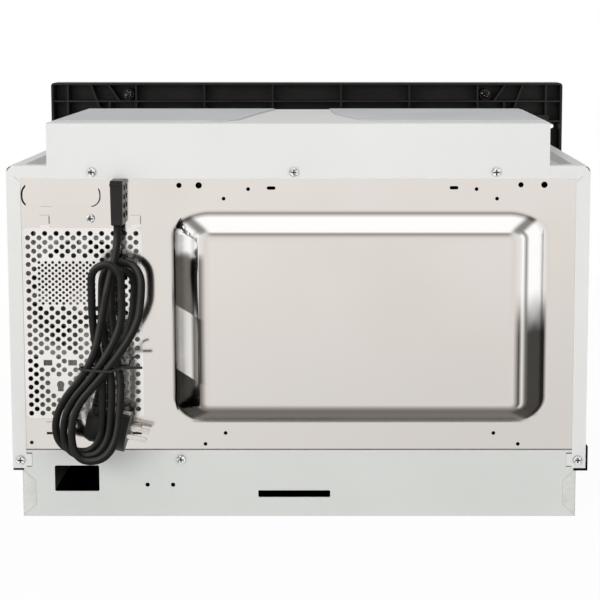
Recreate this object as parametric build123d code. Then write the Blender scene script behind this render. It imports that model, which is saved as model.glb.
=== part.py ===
from build123d import *
from math import atan2, cos, degrees, radians, sin, tan
import os

# Built-in microwave for a kitchen niche, seen from the front: door on the left, controls on the right.
# X runs to the right, Y to the rear, Z up. The origin is under the middle, on the shelf it stands on.

# Overall sizes
frame_width = 595.0
frame_height = 392.0
frame_base = 10.0
frame_depth = 28.0
frame_corner = 4.0
body_depth = 370.0
knob_reach = 18.0
bulge_reach = 24.0

# Sheet and wall thicknesses
case_sheet = 0.8
plinth_sheet = 1.0
chassis_sheet = 1.2
base_plate_setback = 3.0
cavity_sheet = 0.8
frame_face = 3.0
frame_wall = 2.5
rib_wall = 2.0
shoulder_wall = 1.6
fit_gap = 0.3
running_gap = 0.05
screw_radius = 4.2
screw_height = 2.4
cross_share = 1.25
screw_round = 0.45

# Outer cabinet
cabinet_width = 548.0
cabinet_drop = 64.0
skirt_base = 47.5
case_corner = 5.0
side_flange = 13.2
top_flange = 12.0
tab_reach = 5.2
tab_height = 11.8
tab_centre = 55.5
tab_relief = 1.0
corner_gap = 1.0
seam_width = 0.35
seam_length = 6.8
seam_side = 9.9
seam_drop = 12.4
rim = 14.0
recess_drop = 6.0
recess_slope = 4.0
recess_corner = 6.0

# Plinth
plinth_width = 530.0
plinth_height = 65.0
plinth_setback = 12.0
plinth_lip = 15.0
plinth_screw_x = 112.9
plinth_screw_drop = 9.1
plinth_window_x = 212.9
plinth_window_z = 37.2
plinth_window_width = 42.6
plinth_window_height = 25.3
plinth_slot_x = 4.8
plinth_slot_z = 22.0
plinth_slot_width = 69.0
plinth_slot_height = 6.8
plinth_slot_round = 1.0
bracket_hole_x = 133.2
bracket_hole_z = 30.9
bracket_hole_pitch = 24.5
bracket_hole_radius = 2.1

# Air duct on the roof
duct_width = 471.0
duct_depth = 242.0
duct_drop = 24.0
duct_flange_drop = 12.0
duct_edge_radius = 1.5
duct_screw_right = 41.9
duct_screw_middle = 4.0
duct_screw_left = 49.9

# Rear panel
bulge_x = -57.5
bulge_z = 194.0
bulge_width = 350.0
bulge_height = 206.0
bulge_corner = 22.0
bulge_slope = 26.0
bulge_slope_up = 17.0
bulge_foot_round = 5.0
bulge_crown_round = 7.0
label_x = 222.7
label_z = 310.0
label_width = 74.0
label_height = 22.0
label_corner = 9.5
label_rise = 1.0
label_round = 0.3
label_slit = 1.8
label_slit_reach = 4.5
panel_hole_small = 1.8
panel_hole_medium = 2.5
panel_hole_large = 3.0
lance_width = 9.0
lance_height = 9.0
lance_rise = 3.0
lance_wall = 1.0
lance_drop = 3.2
slot_round = 0.1
panel_holes = (
    (112.0, 319.4, panel_hole_medium),
    (93.5, 319.4, panel_hole_large),
    (70.2, 306.9, panel_hole_small),
    (47.1, 315.9, panel_hole_small),
    (-167.3, 315.9, panel_hole_small),
    (-186.6, 306.9, panel_hole_small),
    (-208.9, 320.0, panel_hole_medium),
    (-230.9, 320.0, panel_hole_large),
    (70.2, 81.7, panel_hole_small),
    (89.5, 71.0, panel_hole_small),
    (-185.6, 81.7, panel_hole_small),
    (-209.1, 71.0, panel_hole_small),
    (255.6, 72.4, panel_hole_small),
)
panel_slots = ((25.5, 316.9), (-146.1, 317.2))
panel_slot_width = 8.2
panel_slot_height = 3.2
lances = ((239.0, 286.8), (153.0, 286.8), (236.5, 88.0), (154.7, 88.0))
plinth_round = 1.5
panel_foot_gap = 1.2

# Vent field
vent_x = 204.2
vent_z = 187.3
vent_width = 112.6
vent_height = 183.6
vent_corner = 5.0
grille_border = 4.0
vent_hole_radius = 2.4
vent_pitch_x = 10.74
vent_pitch_z = 4.22
vent_lean = 0.25
fine_x = 219.2
fine_z = 226.6
fine_width = 57.0
fine_height = 44.0
fine_hole_radius = 1.4
fine_pitch_x = 6.48
fine_pitch_z = 2.61
fine_lean = 0.5
hole_margin = 1.0
key_x = 226.9
key_z = 128.6
key_radius = 3.6
key_slot_width = 5.4
key_slot_drop = 6.5
vent_slot_z = 149.8
vent_slot_width = 8.2
vent_slot_height = 5.4
vent_slot_left = 215.2
vent_slot_right = 238.6
vent_screw_shift = 8.6
vent_screw_rise = 9.0

# Cavity
cavity_x = -57.5
cavity_width = 342.0
cavity_height = 208.0
cavity_floor = 93.0
cavity_corner = 8.0
cavity_rear_gap = 10.0
cavity_dish_width = 300.0
cavity_dish_height = 168.0
cavity_dish_rise = 16.0
cavity_dish_slope = 14.0
port_y = 10.0
port_z = 260.0
port_depth = 76.0
port_height = 54.0
mica_margin = 5.0
mica_sheet = 0.5

# Door
opening_side = 18.0
opening_foot = 24.0
opening_head = 40.0
control_width = 119.5
door_gap = 3.5
edge_gap = 2.5
door_depth = 25.0
door_corner = 2.0
door_rear_corner = 0.8
glass_round = 1.2
window_corner = 6.0
pane_corner = 5.0
pan_corner = 4.0
glass_thickness = 3.2
hinge_inset = 5.5
hinge_setback = 7.0
hinge_pin_radius = 3.0
hinge_pin_length = 12.0
tongue_half = 3.2
tongue_sheet = 2.2
hinge_notch = 7.5
choke_margin = 20.0
choke_setback = 14.0
choke_margin_z = 19.0
window_width = 315.0
window_height = 184.0
window_rest = 7.0
inner_window_thickness = 3.0
pan_sheet = 0.8
cover_ring = 3.0

# Latch
hook_inset = 12.0
hook_thick = 4.0
hook_shank = 8.0
hook_barb = 4.0
hook_reach = 31.0
hook_low = 134.0
hook_high = 268.0
hook_travel = 5.0
hook_bar_depth = 10.0
spring_radius = 2.6
spring_length = 26.0

# Controls
panel_gap = 2.0
panel_face = 3.0
panel_wall = 1.8
panel_inner_corner = 0.8
boss_radius = 3.0
panel_depth = 14.0
display_width = 84.0
display_height = 30.0
display_z = 335.0
button_width = 34.0
button_height = 14.0
button_rise = 1.2
button_travel = 1.0
button_flange = 1.5
button_corner = 3.0
button_lip = 2.0
button_stem_radius = 2.0
button_top_z = 282.0
button_pitch_z = 27.0
button_pitch_x = 46.0
button_rows = 3
button_columns = 2
knob_radius = 20.0
knob_z = 160.0
knob_length = 16.5
knob_round = 1.5
encoder_bush_wall = 1.5
knob_shaft_radius = 3.0
open_button_width = 96.0
open_button_height = 34.0
open_button_z = 66.0
board_gap = 10.0
boss_inset = 6.0
board_sheet = 1.6
module_margin_x = 6.0
module_margin_z = 4.0
switch_body = 6.0
lever_arm = 24.0
lever_sheet = 3.0

# Turntable
tray_radius = 157.5
tray_thickness = 5.0
tray_rim = 8.0
roller_radius = 7.0
roller_width = 8.0
roller_circle = 95.0
roller_count = 3
first_roller_angle = 30.0
axle_cap_wall = 1.2
axle_cap_length = 2.0
well_share = 0.9
ring_wall = 5.0
axle_radius = 2.5
coupler_radius = 14.0
coupler_shaft_radius = 3.5
motor_radius = 24.5
motor_height = 15.0
motor_ear_reach = 8.0
motor_ear_width = 10.0
motor_ear_sheet = 1.5
hub_radius = 8.0
arm_breadth = 7.0
hub_step = 4.0

# Cooling fan
fan_x = 207.0
fan_z = 208.0
fan_housing_size = 118.0
fan_housing_depth = 26.0
housing_corner = 6.0
arm_width = 10.0
stand_inset = 20.0
stand_sheet = 4.0
post_inset = 6.0
post_side = 8.0
post_radius = 3.0
blade_share = 0.95
fan_radius = 54.0
fan_tip_gap = 2.0
fan_hub_radius = 14.0
fan_blades = 5
fan_blade_sheet = 1.6
fan_blade_pitch = 35.0
fan_shaft_radius = 1.6

# Frame ribs and fixings
rib_pitch = 79.6
rib_count = 8
side_rib_count = 5
top_rib_drop = 21.5
short_rib_x = 230.0
brace_x = (252.0, 238.5)
inner_brace_x = (232.0, 218.0)
frame_screw_x = 208.0
frame_screw_drop = 13.6
frame_boss_radius = 6.5
frame_screw_radius = 5.2
frame_screw_height = 3.4
fixing_inset = 9.0
fixing_rise = 50.0
fixing_drop = 52.0
fixing_radius = 2.6

# Hinge brackets
bracket_half = 8.0
bracket_foot = 30.0

# Door-open lever and interlock
lever_inset = 16.0
lever_y = -168.0
lever_foot_z = 78.0
lever_back = 20.0
lever_width = 6.0
lever_pin_radius = 2.0
lever_eye = 4.2
hook_swing = 3.6
bracket_offset = 4.0
bracket_wall = 2.5
switch_inset = 4.0
switch_thick = 10.0
switch_deep = 16.0
switch_high = 28.0
board_low = 92.0
wiring_low = 145.0
switch_height = 4.5
encoder_depth = 7.0
encoder_size = 14.0
hook_setback = 10.0
cover_sink = 1.0

# Waveguide and magnetron
guide_depth = 34.0
guide_sheet = 0.8
antenna_z = 218.0
antenna_radius = 7.0
antenna_length = 22.0
yoke_length = 78.0
yoke_width = 80.0
yoke_height = 88.0
yoke_sheet = 1.6
anode_radius = 19.0
filter_depth = 28.0
filter_size = 50.0
fin_count = 6
fin_sheet = 0.6
fin_setback = 6.0
lamp_y = 110.0
lamp_z = 264.0
lamp_port_radius = 12.0
lamp_flange = 3.0
lamp_holder_radius = 9.0
lamp_holder_length = 23.0
bulb_radius = 6.0
bulb_inset = 0.4
cutout_drop = 40.0
cutout_radius = 8.0
cutout_height = 8.0
cutout_cap_radius = 5.0
cutout_cap_height = 6.0

# Transformer and capacitor
transformer_x = 200.0
transformer_y = -20.0
transformer_length = 96.0
transformer_width = 62.0
transformer_height = 84.0
limb = 16.0
coil_space = 16.0
winding_corner = 8.0
capacitor_x = 150.0
capacitor_low_y = 50.0
capacitor_length = 75.0
capacitor_width = 52.0
capacitor_height = 34.0
terminal_radius = 2.5
terminal_length = 8.0
terminal_spacing = 20.0
diode_radius = 3.0
diode_length = 20.0
clamp_sheet = 0.8
clamp_width = 18.0

# Cooling motor, guide and filter board
fan_front = 138.0
fan_rotor_radius = 12.0
stack_depth = 20.0
stack_width = 62.0
stack_drop = 24.0
stack_rise = 44.0
coil_width = 34.0
coil_limb = 12.0
coil_rise = 6.0
coil_drop = 10.0
coil_corner = 3.0
coil_stand = 3.0
guide_wall = 1.5
arm_sheet = 3.0
filter_board_lift = 8.0
board_width = 110.0
board_depth = 50.0
choke_coil_shift = 20.0
choke_coil_radius = 11.0
choke_coil_height = 14.0
fuse_block = (15.0, 22.0, 6.0, 7.0)
terminal_block = (35.0, 14.0, 26.0, 12.0)

# Cord: each place is X, Z and the distance behind the steel panel
cord_diameter = 7.2
anchor_x = 168.3
anchor_width = 12.4
anchor_height = 42.8
anchor_depth = 20.0
anchor_round = 2.0
lead_depth = 15.5
lead_bend = (168.3, 270.0, 15.5)
lead_slope = (170.0, 253.2, 27.0)
lead_end = (172.2, 238.6, 35.5)
lead_under = (176.6, 223.0, 40.5)

# Hank: a figure of eight, each turn a step on from the last
hank_turns = 3
front_cross = (193.1, 156.4, 46.8)
front_cross_step = (-10.6, 0.7, 3.3)
far_low = (226.6, 89.1, 28.5)
far_low_step = (-8.6, 2.2, 8.8)
lowest = (203.7, 72.3, 33.4)
lowest_step = (-5.3, -2.3, 8.8)
near_low = (180.4, 119.3, 42.8)
near_low_step = (-8.3, 0.5, 2.0)
back_cross = (182.7, 152.8, 38.5)
back_cross_step = (-8.5, 0.0, 0.0)
front_angle = -54.0
back_angle = 78.0
first_loop_x = (190.1, 160.8)
first_loop_z = (211.0, 251.4)
first_loop_depth = (36.0, 44.0, 48.5)
outer_loop_x = (182.7, 144.8)
outer_loop_z = (215.5, 249.8)
outer_loop_depth = (23.0, 20.4, 40.0)
nest_step = 8.6
inner_loop_depth = (18.8, 17.0, 18.0)
shoulder_angle = 65.0
cap_roundness = 0.72
last_cross = (176.3, 152.5, 28.0)
last_cross_angle = -58.0
plug_entry = (183.0, 135.2, 28.0)
plug_entry_angle = -78.0
plug_tilt = 9.5
climb_share = 0.9
sample_step = 2.0
bend_share = 0.45
crown_lead = 0.75

# Tie and plug
tie_radius = 1.2
tie_clearance = 6.2
tie_z = 154.5
tail_reach = 16.0
tail_curl = 9.0
knot_length = 5.0
knot_bite = 0.6
tail_drop = 1.0
curl_share = 0.8
plug_radius = 19.0
plug_face_depth = 9.0
plug_flat = 17.5
plug_axis_length = 41.7
plug_grip_back = 40.0
plug_cord_back = 32.0
plug_grip_tall = 30.0
plug_grip_deep = 21.0
plug_grip_radius = 15.5
grip_end_length = 6.0
grip_waist_corner = 7.0
grip_end_taper = 5.0
pin_radius = 2.4
pin_length = 19.0
pin_spacing = 19.0
boot_radius = 6.4
boot_tip = 4.7
boot_sink = 3.0
boot_grooves = 4
groove_start = 0.35
groove_pitch = 4.0
groove_width = 1.6
groove_bite = 0.4
pin_chamfer = 0.8
earth_sheet = 1.0
earth_width = 8.0

# Places worked out from the sizes above
total_depth = knob_reach + frame_depth + body_depth + bulge_reach
rear = total_depth / 2 - bulge_reach
frame_back = rear - body_depth
front = frame_back - frame_depth
steel_outer = rear - case_sheet
steel_inner = steel_outer - case_sheet
frame_top = frame_base + frame_height
cabinet_top = frame_top - cabinet_drop
duct_top = frame_top - duct_drop
half_frame = frame_width / 2
half_cabinet = cabinet_width / 2
inside = half_cabinet - case_sheet
opening_x = half_frame - opening_side
opening_low = frame_base + opening_foot
opening_high = frame_top - opening_head
chassis_top = plinth_height + chassis_sheet
door_left = -opening_x + door_gap
panel_right = opening_x - panel_gap
panel_left = panel_right - control_width
door_right = panel_left - panel_gap
door_low = opening_low + edge_gap
door_high = opening_high - edge_gap
door_rear = front + door_depth
glass_rear = front + glass_thickness
hinge_x = door_left + hinge_inset
hinge_y = front + hinge_setback
cavity_left = cavity_x - cavity_width / 2
cavity_right = cavity_x + cavity_width / 2
cavity_top = cavity_floor + cavity_height
cavity_z = cavity_floor + cavity_height / 2
cavity_back = rear - cavity_rear_gap
plate_rear = frame_back + chassis_sheet
turn_y = (frame_back + cavity_back) / 2
panel_x = (panel_left + panel_right) / 2
panel_rear = front + panel_depth
hook_x = door_right - hook_inset
lever_x = panel_left + lever_inset
bracket_x = lever_x + bracket_offset
switch_left = door_right - switch_inset
fixing_x = half_frame - fixing_inset
board_front = panel_rear + fit_gap
pan_front = front + choke_setback
pan_rear = door_rear - cover_sink
hook_bar_front = front + hook_setback
switch_front = board_front - switch_height
encoder_front = board_front - encoder_depth
lever_pivot_z = lever_foot_z + lever_arm
lever_front = lever_y - lever_width / 2
roller_axis_z = cavity_floor + fit_gap + roller_radius
tray_low = roller_axis_z + roller_radius + fit_gap
fan_rear = fan_front + fan_housing_depth
motor_front = fan_rear + arm_sheet
filter_board_z = fan_z + fan_housing_size / 2 + filter_board_lift
mouth_x = half_cabinet - top_flange
tongue_low_top = door_low + hinge_notch - fit_gap
tongue_high_base = door_high - hinge_notch + fit_gap
right_wall = cavity_right + cavity_sheet


def block(x, y, z):
    """A box between three pairs of limits."""
    sizes = [high - low for low, high in (x, y, z)]
    return Pos(x[0], y[0], z[0]) * Box(*sizes, align=(Align.MIN,) * 3)


def centred(centre, size):
    """The two limits of a stretch about its centre."""
    return (centre - size / 2, centre + size / 2)


def rod_x(y, z, radius, x):
    return Pos(x[0], y, z) * Rot(0, 90, 0) * Cylinder(radius, x[1] - x[0],
                                                      align=(Align.CENTER, Align.CENTER, Align.MIN))


def rod_y(x, z, radius, y):
    return Pos(x, y[0], z) * Rot(-90, 0, 0) * Cylinder(radius, y[1] - y[0],
                                                       align=(Align.CENTER, Align.CENTER, Align.MIN))


def rod_z(x, y, radius, z):
    return Pos(x, y, z[0]) * Cylinder(radius, z[1] - z[0], align=(Align.CENTER, Align.CENTER, Align.MIN))


def rear_facing(x, y, z):
    """A sketch plane whose normal points to the rear."""
    return Plane(origin=(x, y, z), x_dir=(1, 0, 0), z_dir=(0, 1, 0))


def slab(x, z, y, corner):
    """A plate with rounded corners, upright and square to Y."""
    outline = RectangleRounded(x[1] - x[0], z[1] - z[0], corner)
    plane = rear_facing((x[0] + x[1]) / 2, y[0], (z[0] + z[1]) / 2)
    return extrude(plane * outline, y[1] - y[0])


def slab_z(x, y, z, corner):
    """A plate with rounded corners, lying square to Z."""
    base = Plane(origin=((x[0] + x[1]) / 2, (y[0] + y[1]) / 2, z[0]))
    outline = base * RectangleRounded(x[1] - x[0], y[1] - y[0], corner)
    return extrude(outline, z[1] - z[0])


def window_ring(x, z, y, corner, wall):
    """An upright ring of steady wall whose outside has rounded corners."""
    outside = slab(x, z, y, corner)
    inner_x = (x[0] + wall, x[1] - wall)
    inner_z = (z[0] + wall, z[1] - wall)
    return outside - slab(inner_x, inner_z, y, max(corner - wall, 0.5))


def frustum(plane, width, height, corner, slope, rise, slope_up=None):
    """A low drawn form that narrows while it rises: sideways by slope, upward by slope_up."""
    slope_up = slope if slope_up is None else slope_up
    base = plane * RectangleRounded(width, height, corner)
    top_corner = max(corner - slope / 2, 1.0)
    top = plane.offset(rise) * RectangleRounded(width - 2 * slope, height - 2 * slope_up, top_corner)
    return loft([base, top], ruled=True)


def drawn_form(plane, width, height, corner, slope, rise, apron, foot_round, crown_round, slope_up):
    """A drawn form on the sheet round it, which is apron thick, with rounded creases at foot and crown."""
    def at_height(edge, height_here):
        return abs(plane.to_local_coords(edge.center()).Z - height_here) < fit_gap

    def on_foot(edge):
        place = plane.to_local_coords(edge.center())
        return abs(place.X) < width / 2 + fit_gap and abs(place.Y) < height / 2 + fit_gap

    form = frustum(plane, width, height, corner, slope, rise, slope_up)
    form = fillet([edge for edge in form.edges() if at_height(edge, rise)], crown_round)
    reach = 4 * foot_round
    around = plane.offset(-apron) * RectangleRounded(width + reach, height + reach, corner + reach / 2)
    form += extrude(around, apron)
    return fillet([edge for edge in form.edges() if at_height(edge, 0) and on_foot(edge)], foot_round)


def drawn_plate(plate, plane, width, height, corner, slope, rise, sheet, foot_round, crown_round,
                slope_up=None):
    """A sheet with a form drawn out of it; the plane lies on the sheet's inner face."""
    outside = drawn_form(plane.offset(sheet), width, height, corner, slope, rise, sheet,
                         foot_round, crown_round, slope_up)
    inside_form = drawn_form(plane, width - sheet, height - sheet, corner - sheet / 2, slope, rise, sheet,
                             foot_round, crown_round, slope_up)
    return (plate + outside) - inside_form


def pan_head(x, y, z, radius=screw_radius, height=screw_height):
    """A pan-head screw whose head stands out to the rear, with a crossed recess."""
    head = rod_y(x, z, radius, (y, y + height))
    head = fillet(head.edges().group_by(Axis.Y)[-1], height * screw_round)
    arm = radius * cross_share
    deep = (y + height / 4, y + height)
    cross = block(centred(x, arm), deep, centred(z, arm / 4)) + block(centred(x, arm / 4), deep,
                                                                      centred(z, arm))
    return head - cross


# Cabinet, panels and frame
def corner_slit(side):
    """The crescent left open where the rear flanges are folded in at a top corner."""
    x = side * (half_cabinet - case_corner)
    z = cabinet_top - case_corner
    outer_radius = case_corner - case_sheet
    flange_y = (rear - case_sheet, rear)
    ring = rod_y(x, z, outer_radius, flange_y) - rod_y(x, z, outer_radius - corner_gap, flange_y)
    return ring & block(sorted((x, x + side * case_corner)), flange_y, (z, z + case_corner))


def flange_seam(side):
    """The fine slanting seam between the side flange and the top flange."""
    place = Pos(side * (half_cabinet - seam_side), rear - case_sheet / 2, cabinet_top - seam_drop)
    return place * Rot(0, -side * 45, 0) * Box(seam_length, 2 * case_sheet, seam_width)


def outer_cabinet():
    """The white wrap: two sides and a roof with a stepped-down middle, and flanges at the rear."""
    sides = slab((-half_cabinet, half_cabinet), (skirt_base - case_corner, cabinet_top),
                 (frame_back, rear), case_corner)
    hollow_y = (frame_back, rear - case_sheet)
    hollow = slab((-inside, inside), (skirt_base - case_corner, cabinet_top - case_sheet), hollow_y,
                  case_corner - case_sheet)
    wrap = sides - hollow
    wrap -= block((-half_cabinet, half_cabinet), (frame_back, rear), (skirt_base - case_corner, skirt_base))
    doorway_x = half_cabinet - side_flange
    wrap -= block((-doorway_x, doorway_x), (rear - case_sheet, rear), (skirt_base, cabinet_top - top_flange))
    tab_z = centred(tab_centre, tab_height)
    for side in (-1, 1):
        tab_x = sorted((side * doorway_x, side * (doorway_x - tab_reach)))
        wrap += block(tab_x, (rear - case_sheet, rear), tab_z)
        wrap -= corner_slit(side) + flange_seam(side)
    floor_y = (frame_back + rim, rear - rim)
    roof_plane = Plane(origin=(0, (floor_y[0] + floor_y[1]) / 2, cabinet_top), x_dir=(1, 0, 0),
                       z_dir=(0, 0, -1))
    width = cabinet_width - 2 * rim
    depth = floor_y[1] - floor_y[0]
    dished = frustum(roof_plane, width, depth, recess_corner, recess_slope, recess_drop + case_sheet)
    dip = frustum(roof_plane, width - 2 * case_sheet, depth - 2 * case_sheet, recess_corner - case_sheet,
                  recess_slope, recess_drop)
    return (wrap + dished) - dip


def top_air_duct():
    """The white duct on the roof: three walls and a lid, open at the front and towards the roof."""
    half = duct_width / 2
    duct_front = rear - duct_depth
    roof_floor = cabinet_top - recess_drop
    duct_y = (duct_front, rear + case_sheet)
    shell = block((-half, half), duct_y, (roof_floor, duct_top))
    top_edges = shell.edges().group_by(Axis.Z)[-1].filter_by(Axis.X).sort_by(Axis.Y)[-1:]
    shell = fillet(top_edges, duct_edge_radius)
    shell -= block((-half + case_sheet, half - case_sheet), (duct_front, rear),
                   (roof_floor, duct_top - case_sheet))
    shell -= block((-half, half), (rear - rim - recess_slope - 3 * fit_gap, rear), (roof_floor, cabinet_top))
    flange = block((-half, half), (rear, rear + case_sheet), (cabinet_top - duct_flange_drop, cabinet_top))
    return shell - block((-half, half), (rear, rear + case_sheet), (roof_floor, cabinet_top)) + flange


def label_end_slit():
    """The crescent cut round the outer end of the raised label pad."""
    deep = (steel_inner, steel_outer + label_rise)
    wide = centred(label_x, label_width + label_slit)
    tall = centred(label_z, label_height + label_slit)
    grown = slab(wide, tall, deep, label_corner + label_slit / 2)
    narrow = centred(label_x, label_width - label_slit)
    low = centred(label_z, label_height - label_slit)
    ring = grown - slab(narrow, low, deep, label_corner - label_slit / 2)
    return ring & block((wide[1] - label_slit_reach, wide[1]), deep, tall)


def rear_panel():
    """The bright steel rear wall with its deep-drawn bulge, vent window, holes and lanced hooks."""
    width = inside - fit_gap
    sheet_z = (plinth_height + panel_foot_gap, cabinet_top - case_sheet - fit_gap)
    plate = slab((-width, width), sheet_z, (steel_inner, steel_outer), case_corner)
    bulge_plane = rear_facing(bulge_x, steel_inner, bulge_z)
    rise = rear + bulge_reach - steel_inner - case_sheet
    plate = drawn_plate(plate, bulge_plane, bulge_width, bulge_height, bulge_corner, bulge_slope, rise,
                        case_sheet, bulge_foot_round, bulge_crown_round, bulge_slope_up)
    label_plane = rear_facing(label_x, steel_inner, label_z)
    plate = drawn_plate(plate, label_plane, label_width, label_height, label_corner, label_rise, label_rise,
                        case_sheet, label_round, label_round)
    plate -= label_end_slit()
    through = (steel_inner, steel_outer)
    plate -= slab(centred(vent_x, vent_width), centred(vent_z, vent_height), through, vent_corner)
    for x, z, radius in panel_holes:
        plate -= rod_y(x, z, radius, through)
    for x, z in panel_slots:
        plate -= slab(centred(x, panel_slot_width), centred(z, panel_slot_height), through,
                      panel_slot_height / 2 - slot_round)
    for x, z in lances:
        tab_x = centred(x, lance_width)
        tab_z = centred(z, lance_height)
        plate += block(tab_x, (steel_outer, steel_outer + lance_rise), tab_z)
        under = (tab_z[0] - lance_drop, tab_z[1] - lance_wall)
        plate -= block(tab_x, (steel_inner, steel_outer + lance_rise - lance_wall), under)
    return plate


def vent_grille():
    """The perforated sheet behind the vent window: a coarse field, a fine field and fixing cut-outs."""
    half_x = vent_width / 2 + grille_border
    half_z = vent_height / 2 + grille_border
    face_y = steel_inner - case_sheet
    plane = rear_facing(vent_x, face_y, vent_z)
    outline = (plane * Rectangle(2 * half_x, 2 * half_z)).face().outer_wire()
    holes = []

    def in_fine(x, z, margin):
        return abs(x - fine_x) < fine_width / 2 + margin and abs(z - fine_z) < fine_height / 2 + margin

    def near_cutout(x, z, radius):
        reach = radius + hole_margin
        beside_key = abs(x - key_x) < key_radius + reach
        keyhole = beside_key and key_z - key_slot_drop - reach < z < key_z + key_radius + reach
        slot = any(abs(x - at) < vent_slot_width / 2 + reach for at in (vent_slot_left, vent_slot_right))
        return keyhole or (slot and abs(z - vent_slot_z) < vent_slot_height / 2 + reach)

    def field(centre_x, centre_z, width, height, pitch_x, pitch_z, radius, lean, wanted):
        columns = int((width - 2 * radius - 2 * hole_margin) / pitch_x)
        rows = int((height - 2 * radius - 2 * hole_margin) / pitch_z)
        for row in range(rows + 1):
            shift = pitch_x * (lean - row % 2 / 2)
            for column in range(columns + 1):
                x = centre_x + (column - columns / 2) * pitch_x + shift
                z = centre_z + (row - rows / 2) * pitch_z
                if wanted(x, z):
                    holes.append(Wire.make_circle(radius, rear_facing(x, face_y, z)))

    def coarse(x, z):
        return not in_fine(x, z, hole_margin) and not near_cutout(x, z, vent_hole_radius)

    def fine(x, z):
        return in_fine(x, z, -fine_hole_radius)

    field(vent_x, vent_z, vent_width, vent_height, vent_pitch_x, vent_pitch_z, vent_hole_radius,
          vent_lean, coarse)
    field(fine_x, fine_z, fine_width, fine_height, fine_pitch_x, fine_pitch_z, fine_hole_radius,
          fine_lean, fine)
    sheet = Part(Solid.extrude(Face(outline, holes), Vector(0, case_sheet, 0)).wrapped)
    through = (face_y, steel_inner)
    sheet -= rod_y(key_x, key_z, key_radius, through)
    sheet -= block(centred(key_x, key_slot_width), through, (key_z - key_slot_drop, key_z))
    for x in (vent_slot_left, vent_slot_right):
        sheet -= block(centred(x, vent_slot_width), through, centred(vent_slot_z, vent_slot_height))
    return sheet


def base_plinth():
    """The folded plinth that lifts the body: four walls, lips inward at the top and at the foot."""
    half = plinth_width / 2
    front_y = frame_back + plinth_setback
    body = block((-half, half), (front_y, steel_outer), (0, plinth_height))
    inner_x = half - plinth_sheet
    inner_y = (front_y + plinth_sheet, steel_outer - plinth_sheet)
    body -= block((-inner_x, inner_x), inner_y, (plinth_sheet, plinth_height - plinth_sheet))
    lip_x = half - plinth_lip
    lip_y = (front_y + plinth_lip, steel_outer - plinth_lip)
    body -= block((-lip_x, lip_x), lip_y, (0, plinth_height))
    through = (steel_outer - plinth_sheet, steel_outer)
    doorway_x = half_cabinet - side_flange
    tab_z = centred(tab_centre, tab_height)
    for side in (-1, 1):
        tab_x = sorted((side * doorway_x, side * (doorway_x - tab_reach)))
        body -= block(tab_x, through, (tab_z[1], tab_z[1] + tab_relief))
        body -= block(tab_x, through, (tab_z[0] - tab_relief, tab_z[0]))
    body -= slab(centred(plinth_window_x, plinth_window_width),
                 centred(plinth_window_z, plinth_window_height),
                 through, plinth_round)
    body -= slab(centred(plinth_slot_x, plinth_slot_width), centred(plinth_slot_z, plinth_slot_height),
                 through,
                 plinth_slot_round)
    for side in (-1, 1):
        x = bracket_hole_x + side * bracket_hole_pitch / 2
        body -= rod_y(x, bracket_hole_z, bracket_hole_radius, through)
    return body


def base_plate():
    """The chassis plate that carries the heavy parts, on top of the plinth."""
    width = inside - fit_gap
    return block((-width, width), (plate_rear, steel_inner - base_plate_setback),
                 (plinth_height, chassis_top))


def brace(side, x, z, y):
    """A slanted rib of the frame from its top place to its low place, on one side."""
    half = rib_wall / 2
    corners = [(side * x[0] - half, -z[0]), (side * x[0] + half, -z[0])]
    corners += [(side * x[1] + half, -z[1]), (side * x[1] - half, -z[1])]
    return extrude(rear_facing(0, y[0], 0) * Polygon(*corners, align=None), y[1] - y[0])


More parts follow.
